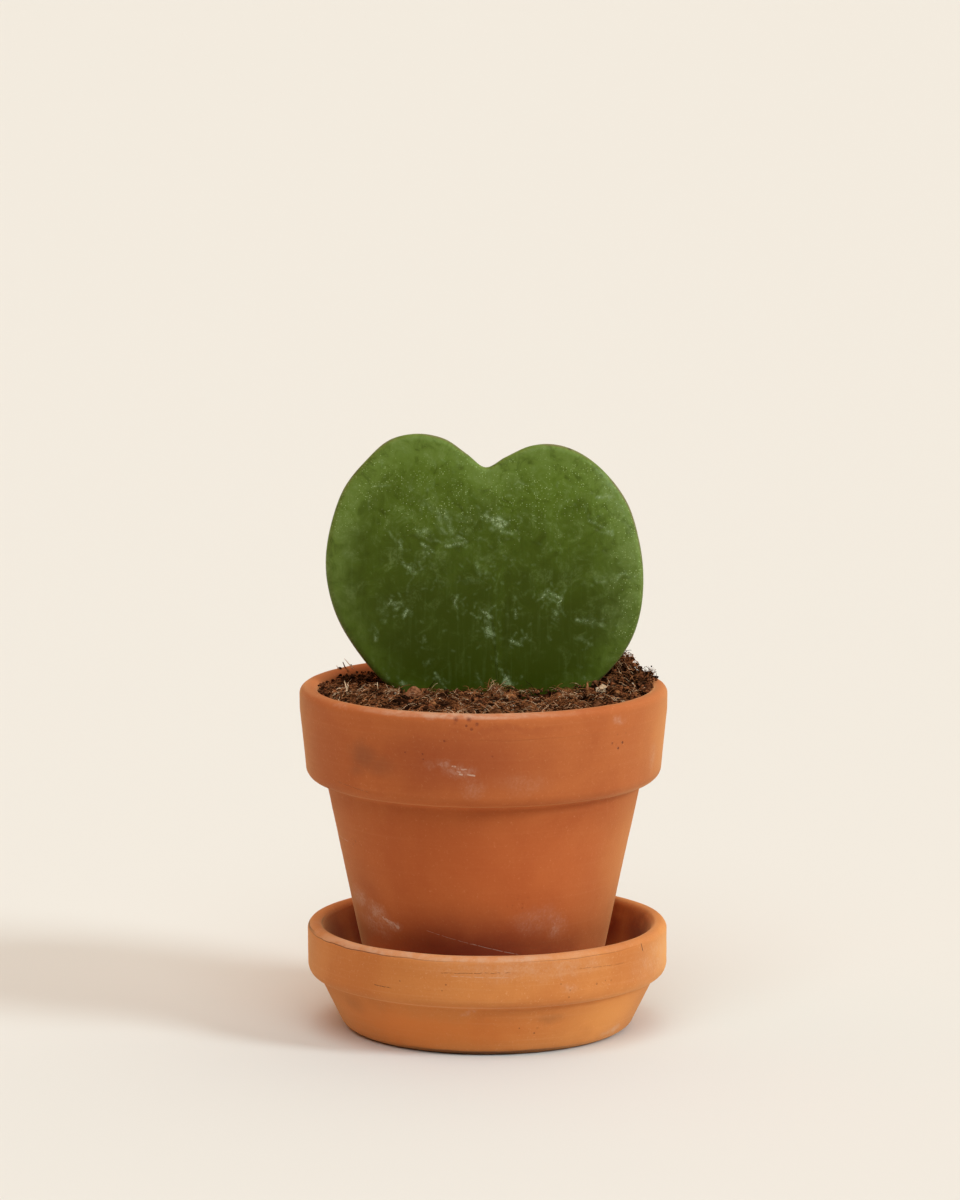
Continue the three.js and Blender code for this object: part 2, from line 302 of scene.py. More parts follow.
def blend(share, under, over):
    """A share of one colour over another. Each is an output, or red, green and blue."""
    under, over = [tone if isinstance(tone, bpy.types.NodeSocket) else (*tone, 1)
                   for tone in (under, over)]
    return feed("ShaderNodeMix", {0: share, 6: under, 7: over}, data_type="RGBA").outputs[2]


def mottle(coords, scale, detail=3, rough=0.5, warp=0):
    """Cloudy noise from 0 to 1."""
    inputs = {"Vector": coords, "Scale": scale, "Detail": detail,
              "Roughness": rough, "Distortion": warp}
    return feed("ShaderNodeTexNoise", inputs).outputs["Fac"]


def stretched(coords, *scale):
    return feed("ShaderNodeMapping", {"Vector": coords, "Scale": scale}).outputs[0]


def axis(coords, name):
    return feed("ShaderNodeSeparateXYZ", {0: coords}).outputs[name]


def on_front(coords):
    """All of it where y is below -4 and nothing where it is above -2."""
    return band(axis(coords, "Y"), -2, -4)


def random_cells(coords, scale):
    """Distance to the middle of each cell, and a random number for the whole cell."""
    cells = feed("ShaderNodeTexVoronoi", {"Vector": coords, "Scale": scale}).outputs
    return cells["Distance"], feed("ShaderNodeSeparateColor", {0: cells["Color"]}).outputs[0]


def new_group(name, vectors, numbers, masks):
    """An effect that materials share, with the names of its inputs and outputs."""
    group = bpy.data.node_groups.new(name, "ShaderNodeTree")
    sockets = [(socket, "INPUT", "Vector") for socket in vectors]
    sockets += [(socket, "INPUT", "Float") for socket in numbers]
    sockets += [(socket, "OUTPUT", "Float") for socket in masks]
    for socket, way, kind in sockets:
        group.interface.new_socket(socket, in_out=way, socket_type="NodeSocket" + kind)
    return group, group.nodes.new("NodeGroupInput").outputs, group.nodes.new("NodeGroupOutput")


def group_fired_clay():
    """Soft clouds, turning lines, a sandy grain and dark dots, as on any unglazed pot."""
    masks = ["Clouds", "Lines", "Grain", "Dots"]
    group, given, out = new_group("fired_clay", ["Vector"], ["Cloud Size"], masks)
    coords = given["Vector"]
    far, chance = random_cells(coords, 800)
    fill(out, {
        "Clouds": mottle(coords, given["Cloud Size"], 5, 0.6, 0.4),
        "Lines": mottle(stretched(coords, 26, 26, 1200), 1, 3, 0.65),
        "Grain": mottle(coords, 1500, 5, 0.75),
        "Dots": times(band(far, 0.38, 0.16), band(chance, 0.45, 0.8)),
    })
    return group


def group_flaky_marks():
    """Dried-on flakes and wisps that fill in as the amount rises to one."""
    group, given, out = new_group("flaky_marks", ["Vector"], ["Amount", "Flake Size"], ["Mask"])
    coords = given["Vector"]
    level = plus(mottle(coords, given["Flake Size"], 7, 0.74, 1.6), times(given["Amount"], 0.4))
    crisp = band(mottle(coords, 2600, 3, 0.7), 0.4, 0.56, 0.2)
    fill(out, {"Mask": times(band(level, 0.78, 0.92), band(given["Amount"], 0, 0.2), crisp)})
    return group


def group_near_place():
    """One at a place and nothing outside the ellipsoid of this size round it."""
    group, given, out = new_group("near_place", ["Vector", "Place", "Size"], [], ["Share"])
    away = vector("SUBTRACT", given["Vector"], given["Place"])[0]
    far = vector("LENGTH", vector("DIVIDE", away, given["Size"])[0])["Value"]
    fill(out, {"Share": band(far, 1, 0.1)})
    return group


def group_hairline():
    """A thin unsteady line on the front, from its start and along its length."""
    vectors = ["Vector", "Start", "Along", "Across"]
    group, given, out = new_group("hairline", vectors, ["Wobble"], ["Mask"])
    coords = given["Vector"]
    away = vector("SUBTRACT", coords, given["Start"])[0]
    along = vector("DOT_PRODUCT", away, given["Along"])["Value"]
    across = vector("DOT_PRODUCT", away, given["Across"])["Value"]
    sway = times(calc("SUBTRACT", mottle(coords, 0.45, 3, 0.7), 0.5), given["Wobble"])
    thin = band(calc("ABSOLUTE", plus(across, sway)), 1, 0.4)
    ends = times(band(along, 0, 0.06), band(along, 1, 0.9))
    broken = band(mottle(coords, 1.1, 2), 0.36, 0.5)
    fill(out, {"Mask": times(thin, ends, broken, on_front(coords))})
    return group


FIRED_CLAY = group_fired_clay()
FLAKY_MARKS = group_flaky_marks()
NEAR_PLACE = group_near_place()
HAIRLINE = group_hairline()


def effect(group, coords, inputs):
    """The outputs of a shared effect, with values of its own."""
    return feed("ShaderNodeGroup", {"Vector": coords, **inputs}, node_tree=group).outputs


def new_material(name, inputs):
    """A material, its shader with these values, and the coordinates of the piece that wears it."""
    material = bpy.data.materials.new(name)
    material.use_nodes = True
    shader = material.node_tree.nodes["Principled BSDF"]
    fill(shader, inputs)
    return material, shader, add(material.node_tree, "ShaderNodeTexCoord").outputs["Object"]


def dress(shader, color, height, deep, strength):
    """Gives a shader its colour, and a relief this many millimetres deep."""
    relief = feed("ShaderNodeBump", {"Height": height, "Distance": deep * MM, "Strength": strength})
    fill(shader, {"Base Color": color, "Normal": relief.outputs[0]})


def places(coords, spots):
    """How near the surface is to any of these spots: place, size and share."""
    shares = []
    for place, size, share in spots:
        near = effect(NEAR_PLACE, coords, {"Place": place, "Size": size})["Share"]
        shares.append(times(near, share))
    return most_of(*shares)


def hairlines(coords, lines):
    """Thin lines seen from the front: x and z of both ends, half width, wobble and share."""
    shares = []
    for x0, z0, x1, z1, half, wobble, share in lines:
        run = Vector((x1 - x0, 0, z1 - z0))
        line = effect(HAIRLINE, coords, {
            "Start": (x0, 0, z0),
            "Along": run / run.length_squared,
            "Across": Vector((-run.z, 0, run.x)) / (run.length * half),
            "Wobble": wobble / half,
        })
        shares.append(times(line["Mask"], share))
    return most_of(*shares)


def pits(coords, spots):
    """Single small dots on the front: x, z and radius."""
    dots = places(stretched(coords, 1, 0, 1),
                  [((x, 0, z), (radius, 1, radius), PIT_SHARE) for x, z, radius in spots])
    return times(dots, on_front(coords))


def grooves(coords, rings):
    """Thin lines that run round a turned piece: height, half width, and where they show."""
    shares = []
    level = plus(axis(coords, "Z"), times(mottle(coords, 0.12, 3), GROOVE_SWAY))
    for height, half, spot in rings:
        off = calc("ABSOLUTE", calc("SUBTRACT", level, height + GROOVE_SWAY / 2))
        shares.append(times(band(off, half, half * 0.3), places(coords, [spot])))
    return most_of(*shares)


def flakes(coords, amount, size):
    return effect(FLAKY_MARKS, coords, {"Amount": amount, "Flake Size": size})["Mask"]


def clay(name, tones, marks, cloud_size, line_share):
    """Unglazed clay with soft clouds, faint turning lines, a sandy grain and its own marks."""
    material, shader, coords = new_material(name, {
        "Roughness": 0.8,
        "Specular IOR Level": 0.25,
        "Sheen Weight": 0.36,
        "Sheen Roughness": 0.4,
        "Sheen Tint": (1, 0.7, 0.32, 1),
    })
    tones = {**tones, **CLAY_MARK_TONES}
    look = effect(FIRED_CLAY, coords, {"Cloud Size": cloud_size})
    grain = look["Grain"]
    color = blend(band(look["Clouds"], 0.38, 0.68, 0, 0.7), tones["body"], tones["dark"])
    for layer, low, high, share, tone in (
            ("Lines", 0.5, 0.78, line_share, "pale"), ("Lines", 0.48, 0.22, line_share, "dark"),
            ("Grain", 0.56, 0.74, 0.6, "pale"), ("Grain", 0.44, 0.26, 0.6, "dark")):
        color = blend(band(look[layer], low, high, 0, share), color, tones[tone])

    millimetres = stretched(coords, 1 / MM, 1 / MM, 1 / MM)
    wander = times(mottle(coords, 130, 4, 0.65), 2 * MARK_STRAY)
    loose = vector("SUBTRACT", vector("ADD", millimetres, wander)[0], (MARK_STRAY,) * 3)[0]
    # the rich and lit patches paint light, the shaded ones paint shade, and soot is a real stain
    for mark in ("rich", "painted_light", "painted_shade", "soot"):
        color = blend(places(loose, marks[mark]), color, tones[mark])
    ragged = band(mottle(coords, 300, 6, 0.7), 0.34, 0.66, 0.3)
    # limy haze and flakes, and one patch that paints a sheen
    bloom_and_sheen = times(places(loose, marks["lime_and_sheen"]), ragged)
    haze = times(bloom_and_sheen, band(grain, 0.4, 0.62, 0.25, 0.62))
    lime_and_sheen = most_of(haze, times(flakes(coords, bloom_and_sheen, CLAY_FLAKE_SCALE), 0.75),
                   hairlines(millimetres, marks["scratches"]))
    worn = times(grooves(millimetres, marks["worn"]), ragged)
    strewn = times(look["Dots"], band(places(loose, marks["dots"]), 0.05, 0.5))
    dots = times(most_of(strewn, pits(millimetres, marks["pits"])), band(grain, 0.36, 0.54, 0.4))
    # crack lines and grooves, one of which is a painted contact shadow
    cracks_and_shade = most_of(hairlines(millimetres, marks["cracks_and_shade"]),
                     grooves(millimetres, marks["grooves"]))
    for mask, tone in ((lime_and_sheen, "lime_and_sheen"), (worn, "worn"), (dots, "dots"), (cracks_and_shade, "cracks_and_shade")):
        color = blend(mask, color, tones[tone])

    high = plus(times(grain, 0.4), times(look["Lines"], 0.25))
    dress(shader, color, calc("SUBTRACT", high, most_of(dots, cracks_and_shade)), deep=0.09, strength=1)
    return material


def leaf_skin():
    """Thick waxy leaf: deep green in the middle, yellower at the margin, with chalky water marks.
    Its lighter top, margin and right side are painted light.

    Its x and z are in metres, as Object coordinates are, and its margin is in millimetres.
    """
    material, shader, coords = new_material("leaf_skin", {
        "Specular IOR Level": 0.1,
        "Subsurface Weight": 0.08,
        "Subsurface Radius": (0.4, 1, 0.1),
        "Subsurface Scale": 1.5 * MM,
    })
    tree = shader.id_data
    margin, chalk, dust = [add(tree, "ShaderNodeAttribute", attribute_name=name).outputs["Fac"]
                           for name in LEAF_LAYERS]
    x, z = axis(coords, "X"), axis(coords, "Z")

    clouds = mottle(coords, 95, 4, 0.55, 0.5)
    # lift paints light: lighter towards the top, along the margin and on the right side, with random
    # clouds
    lift = plus(band(z, 0.087, 0.152, 0, 0.84), times(calc("SUBTRACT", clouds, 0.5), 0.9),
                band(margin, 10, 0.5, 0, 0.44), band(x, 0.008, 0.036, 0, 0.1))
    color = blend(band(lift, 0.02, 1.12), LEAF_TONES["deep"], LEAF_TONES["fresh"])
    streaks = mottle(stretched(coords, 2300, 300, 170), 0.5, 4, 0.6)
    patches = mottle(coords, 230, 7, 0.7, 0.8)
    fine = mottle(coords, 1300, 5, 0.75)
    film = times(band(patches, 0.48, 0.7, 0, 0.5), band(fine, 0.4, 0.6, 0.2),
                 most_of(band(z, 0.092, 0.125, 0.3, 1), band(x, 0.01, 0.03)))
    scorched = band(mottle(coords, 45, 2), 0.44, 0.6)
    # pale paints a highlight along the margin high up and on the lit right side
    pale = plus(times(band(margin, 11, 0.5, 0, 0.22), band(z, 0.092, 0.118)),
                band(x, 0.022, 0.038, 0, 0.13))
    haze = band(mottle(coords, 900, 7, 0.78), 0.44, 0.6, 0.15)
    mask = flakes(coords, chalk, LEAF_FLAKE_SCALE)
    far, chance = random_cells(coords, 2700)
    clusters = plus(dust, mottle(coords, 250, 6, 0.7))
    specks = times(band(far, 0.4, 0.15), band(chance, 0.6, 0.97), band(clusters, 0.85, 1.01))
    layers = [
        ("streak", band(streaks, 0.5, 0.78, 0, 0.12)),
        ("film", film),
        ("deep", band(patches, 0.5, 0.3, 0, 0.8)),
        # a painted highlight on the rounded edge
        ("edge", times(band(margin, 1.4, 0.2, 0, 0.3), band(fine, 0.42, 0.62))),
        ("scorched", times(band(margin, 0.45, 0.2), scorched)),
        ("pale", times(pale, band(patches, 0.36, 0.58, 0.4))),
        ("haze", times(band(chalk, 0.05, 0.8, 0, 0.52), haze)),
        ("flake", times(mask, 0.75)),
        ("speck", times(specks, 0.75)),
        ("nick", effect(NEAR_PLACE, coords, LEAF_NICK)["Share"]),
    ]
    for tone, share in layers:
        color = blend(share, color, LEAF_TONES[tone])

    fill(shader, {"Roughness": plus(0.42, times(mask, 0.4))})
    dress(shader, color, plus(times(mottle(coords, 700, 3), 0.6), mask), deep=0.1, strength=0.6)
    return material


def soil_stuff(name, dark, light, bump=0.4, scale=1100):
    """Damp plant matter, from almost black in its dents, which is painted shade, to its own brown on
    top.
    """
    material, shader, coords = new_material(name, {"Roughness": 0.9, "Specular IOR Level": 0.04})
    clumps = mottle(coords, scale * 0.22, 3, 0.6)
    grain = mottle(coords, scale, 4, 0.7)
    color = blend(band(plus(times(clumps, 0.6), times(grain, 0.4)), 0.38, 0.62), dark, light)
    dress(shader, color, grain, bump, strength=0.8)
    return material


# ---- Clay ----

SAUCER_FOOT_Z = 2.0  # below these heights the clay stays true, so it stands flat
POT_FOOT_Z = SAUCER_FLOOR_Z + 1.0
SAUCER_TONES = {
    "body": (0.635, 0.214, 0.052),
    "pale": (0.76, 0.38, 0.165),
    "dark": (0.54, 0.155, 0.033),
    # a lighter tone that paints the light on the lit right side
    "painted_light": (0.84, 0.325, 0.078),
    # a redder tone for painted warm light
    "rich": (0.77, 0.195, 0.03),
}
POT_TONES = {
    "body": (0.48, 0.12, 0.028),
    "pale": (0.63, 0.24, 0.095),
    "dark": (0.39, 0.08, 0.016),
    # a lighter tone that paints the light on the lit right side
    "painted_light": (0.59, 0.178, 0.042),
    # a redder tone for painted warm light
    "rich": (0.61, 0.108, 0.021),
}
CLAY_MARK_TONES = {
    # painted shade: the saucer's hollow, the pot's foot within it, under the rim and the band's
    # shaded left
    "painted_shade": (0.23, 0.0245, 0.007),
    "soot": (0.16, 0.055, 0.026),
    # limy haze, and a painted sheen on the saucer's right
    "lime_and_sheen": (0.66, 0.48, 0.36),
    "worn": (0.66, 0.4, 0.26),
    "dots": (0.17, 0.03, 0.01),
    # crack lines, and a painted contact shadow under the saucer's foot
    "cracks_and_shade": (0.1, 0.022, 0.008),
}
CLAY_FLAKE_SCALE = 620.0
MARK_STRAY = 3.0  # how far the edges of patches wander
PIT_SHARE = 0.8
GROOVE_SWAY = 0.8

# Marks on the clay, in millimetres. Rich and lit patches, which are painted light, patches of
# painted shade, and sooty, dotted and limy patches have a place, half widths and a share. Pits have
# x, z and radius. Scratch and crack lines are thin, with x and z of both ends, half their width, how
# far they stray and a share. Worn rings and grooves have a height, half their width and the patch in
# which they show. One limy patch is a painted sheen, and one groove a painted contact shadow.
SAUCER_MARKS = {
    # painted warm light on the saucer's low front, left of the middle
    "rich": [((-16, -34, 6.5), (48, 34, 7.5), 0.5)],
    # painted light on the saucer's lit right side
    "painted_light": [((28, -24, 8), (22, 20, 11), 0.66), ((44, -8, 20), (9, 24, 11), 0.7)],
    # painted shade in the saucer's hollow, between its wall and the pot
    "painted_shade": [((-35.5, 5, 19.5), (8.8, 21, 9), 1), ((-29, 22, 19.5), (10, 13, 9), 1),
             ((35.5, 7, 19.5), (8.8, 21, 9), 1), ((28, 23, 19.5), (10.5, 13, 9), 1)],
    "soot": [((15, -38, 9), (5, 5, 2.5), 0.25), ((-33, -24, 10), (6, 6, 4), 0.2)],
    "dots": [((19.7, -39.4, 16.5), (3.5, 4, 2.4), 1), ((27.9, -34.1, 17.7), (3, 6, 1.8), 0.8),
             ((10.5, -36.2, 6.5), (3, 4, 1.6), 1), ((-6, -41, 15.5), (12, 4, 1), 0.5)],
    "pits": [(-9.9, 19.3, 0.3), (-10.8, 17.8, 0.25), (-20.9, 19.3, 0.25), (17.5, 18.9, 0.25),
             (11.2, 5.9, 0.35), (7.6, 7.5, 0.3)],
    "lime_and_sheen": [((29.5, -20, 2.6), (4.5, 6, 1.6), 1), ((19, -39, 17.5), (4, 4, 2), 0.35),
             ((-4.6, -40.2, 11.6), (2.2, 3, 0.7), 0.9), ((12, -42, 23.2), (36, 15, 4.4), 0.4),
             # this last patch is a painted sheen on the saucer's lit right side
             ((41, -14, 20), (12, 22, 8), 0.45)],
    "scratches": [(-9, 21.5, 6, 21.2, 0.1, 0.2, 0.4)],
    "cracks_and_shade": [
        (-11.3, 22.1, 0.6, 22.4, 0.11, 0.7, 0.55), (0.6, 22.4, 5.6, 22.4, 0.09, 0.9, 0.6),
        (-27.2, 17.4, -22.8, 17.3, 0.1, 0.6, 0.8), (21.1, 22.2, 33.8, 21.6, 0.08, 0.4, 0.4),
        (37.1, 25.2, 37.6, 22.9, 0.11, 0.5, 0.9),
    ],
    "worn": [(25.6, 0.9, ((-12, -26, 25.6), (58, 50, 5), 0.75)),
             (13.4, 0.5, ((0, -42, 13.4), (50, 24, 3), 0.12))],
    "grooves": [(25, 0.13, ((-30, -26, 25), (36, 42, 6), 0.75)),
                (24.8, 0.12, ((22, -36, 25), (26, 22, 6), 0.4)),
                # a painted contact shadow along the saucer's front foot
                (0.8, 0.7, ((0, -36, 0), (44, 16, 4), 0.9)),
                (25.3, 0.3, ((-43, 2, 25.5), (4, 20, 4), 1))],
}
POT_MARKS = {
    # painted light on the middle of the cone, between the shade under the band and at the foot
    "rich": [((6, -32, 44), (52, 28, 27), 0.3)],
    # painted light on the lit right edges of the band and the cone
    "painted_light": [((44, -10, 74), (12, 26, 16), 1), ((34, -8, 45), (12, 24, 26), 0.75)],
    # painted shade: the foot inside the saucer, a strip under the rim and the band's shaded left
    "painted_shade": [((-6, -30, 21), (38, 17, 18), 0.92), ((14, -28, 21), (20, 12, 10), 0.6),
             ((-2, -44, 80.2), (30, 10, 2.4), 0.3), ((-8, -44, 73), (34, 14, 13), 0.46)],
    "soot": [((-30, -33.9, 72.8), (8, 6, 5), 0.42), ((-26.5, -36.5, 71), (8, 6, 3.6), 0.28),
             ((-26.5, -16, 40), (8, 9, 14), 0.1), ((-31.5, -32.5, 69.5), (4, 5, 3), 0.25)],
    "dots": [((-6, -42.5, 82.8), (9, 5, 2.6), 0.45), ((-31.5, -18.9, 48.9), (2.6, 4, 2.6), 1),
             ((32, -30, 76), (4, 5, 3), 0.6), ((28, -14, 42), (3, 5, 4), 0.5),
             ((8, -33, 36), (6, 4, 4), 0.3)],
    "pits": [(-10.2, 78.3, 0.45), (-15.4, 74.9, 0.35), (-15.2, 73.6, 0.3), (-19.5, 75, 0.3),
             (1.1, 74.7, 0.35), (-7.5, 83.6, 0.9), (-4.4, 83.6, 0.9), (-2.5, 82.5, 0.7),
             (-3.8, 81.3, 0.6)],
    "lime_and_sheen": [((-30.5, -12, 34.5), (5, 8, 4), 0.75), ((-27, -19, 31.8), (5, 6, 4), 0.95),
             ((-22.6, -23.4, 29.4), (3.4, 4, 1.7), 1), ((-26.5, -17, 29.5), (8, 10, 6.5), 0.5),
             ((11.5, -29.5, 32), (8, 6, 5), 0.3), ((16.5, -26.5, 29.8), (4, 5, 4.5), 0.42),
             ((8, -42, 68), (12, 5, 4), 0.15), ((-8, -43, 84.5), (10, 3, 0.8), 0.8),
             ((-6.3, -43.8, 71.6), (5.5, 4, 3.2), 0.6), ((-9.4, -43.4, 73.2), (4, 3, 2), 0.5),
             ((-3.6, -43.6, 67), (4, 3, 4), 0.32), ((-13.6, -42.4, 72.4), (2.4, 3, 1.5), 0.35),
             ((31.5, -31.5, 81), (4, 4, 2), 0.4), ((40.4, -18, 69.5), (2.4, 6, 5), 0.4),
             ((-34, -27, 84), (4, 4, 1.2), 0.7)],
    "scratches": [
        (-15, 29.5, -2, 26.1, 0.09, 0.4, 0.3), (-4, 26.7, 7.8, 23.6, 0.11, 0.3, 0.42),
        (-8.5, 72.2, -7.4, 72, 0.26, 0.7, 0.6), (-7.1, 71.5, -3.7, 71.5, 0.24, 0.7, 0.5),
        (-7.3, 71, -6.3, 70.9, 0.28, 0.7, 0.6), (-6.8, 70.4, -5.8, 70.2, 0.28, 0.6, 0.6),
        (-4.8, 70.3, -2.8, 70, 0.28, 0.7, 0.6),
        (-25.5, 31.2, -21, 28.9, 0.5, 1.4, 0.6), (-37.2, 48.6, -33.6, 48.4, 0.12, 0.5, 0.3),
    ],
    "cracks_and_shade": [(-36, 65.3, -28, 64, 0.08, 0.4, 0.5)],
    "worn": [(84.3, 0.9, ((-12, -44, 84.3), (48, 18, 4), 0.6))],
    "grooves": [(78.6, 0.12, ((10, -44, 78.6), (24, 12, 3), 0.15))],
}


def saucer():
    bm = turned(SAUCER_SECTION, turn_steps=224, cut=0.6)
    for vert in bm.verts:
        spot = vert.co
        if spot.z < SAUCER_FOOT_Z:
            continue
        ring = wavy(Vector((spot.x * 0.03, spot.y * 0.03, spot.z)), 0.9, 3)
        vert.co = spot + vert.normal * (0.045 * ring + 0.10 * wavy(spot, 14, 5) - 0.06)
    look = clay("saucer_clay", SAUCER_TONES, SAUCER_MARKS, cloud_size=45, line_share=0.16)
    place_piece("saucer_body", bm, [look], "saucer_clay", "saucer")


def pot():
    bm = turned(POT_SECTION, turn_steps=240, cut=0.8, middle_x=POT_X)
    for vert in bm.verts:
        spot = vert.co
        if spot.z < POT_FOOT_Z:
            continue
        vert.co = spot + vert.normal * (0.10 * wavy(spot, 16, 9) + 0.03 * wavy(spot, 3, 2) - 0.05)
    look = clay("pot_clay", POT_TONES, POT_MARKS, cloud_size=38, line_share=0.1)
    place_piece("pot_body", bm, [look], "pot_clay", "pot")


# ---- Leaf ----

LEAF_SEED = 3
LEAF_STEPS = 480  # points round the leaf
FRONT_RINGS = 104  # rings from the margin to the heart on the front, which has marks
BACK_RINGS = 36
EDGE_SHARES = (0.06, 0.16, 0.3, 0.48, 0.72, 1)  # rings over the rounded edge
CURVE_STEPS = 24  # points between two corners of the outline
RIPPLE_HIGH = 0.16
RIPPLE_SIZE = 11.0
CREASE_DEEP = 0.28  # the midrib's faint crease on the front
CREASE_WIDE = 1.5
CREASE_X = 4.6
CREASE_SLOPE = 0.025
CREASE_TOP_Z = 121
CREASE_FADE = 5
LEAF_LAYERS = ("margin", "chalk", "dust")
LEAF_FLAKE_SCALE = 900.0
# A dark nick at the top of the right lobe, in metres.
LEAF_NICK = {"Place": (0.0202, 0, 0.1423), "Size": (0.0009, 0.02, 0.0007)}
LEAF_TONES = {
    # deep and fresh are blended by painted light, fresh where the top, margin and right side catch
    # it
    "deep": (0.042, 0.056, 0.0018),
    "fresh": (0.106, 0.154, 0.014),
    "streak": (0.17, 0.23, 0.07),
    "film": (0.2, 0.255, 0.075),
    # painted highlight on the rounded edge
    "edge": (0.21, 0.27, 0.055),
    "scorched": (0.16, 0.11, 0.05),
    # painted highlight near the margin and on the right side
    "pale": (0.23, 0.29, 0.09),
    "haze": (0.27, 0.34, 0.15),
    "flake": (0.42, 0.49, 0.25),
    "speck": (0.52, 0.6, 0.25),
    "nick": (0.03, 0.016, 0.006),
}

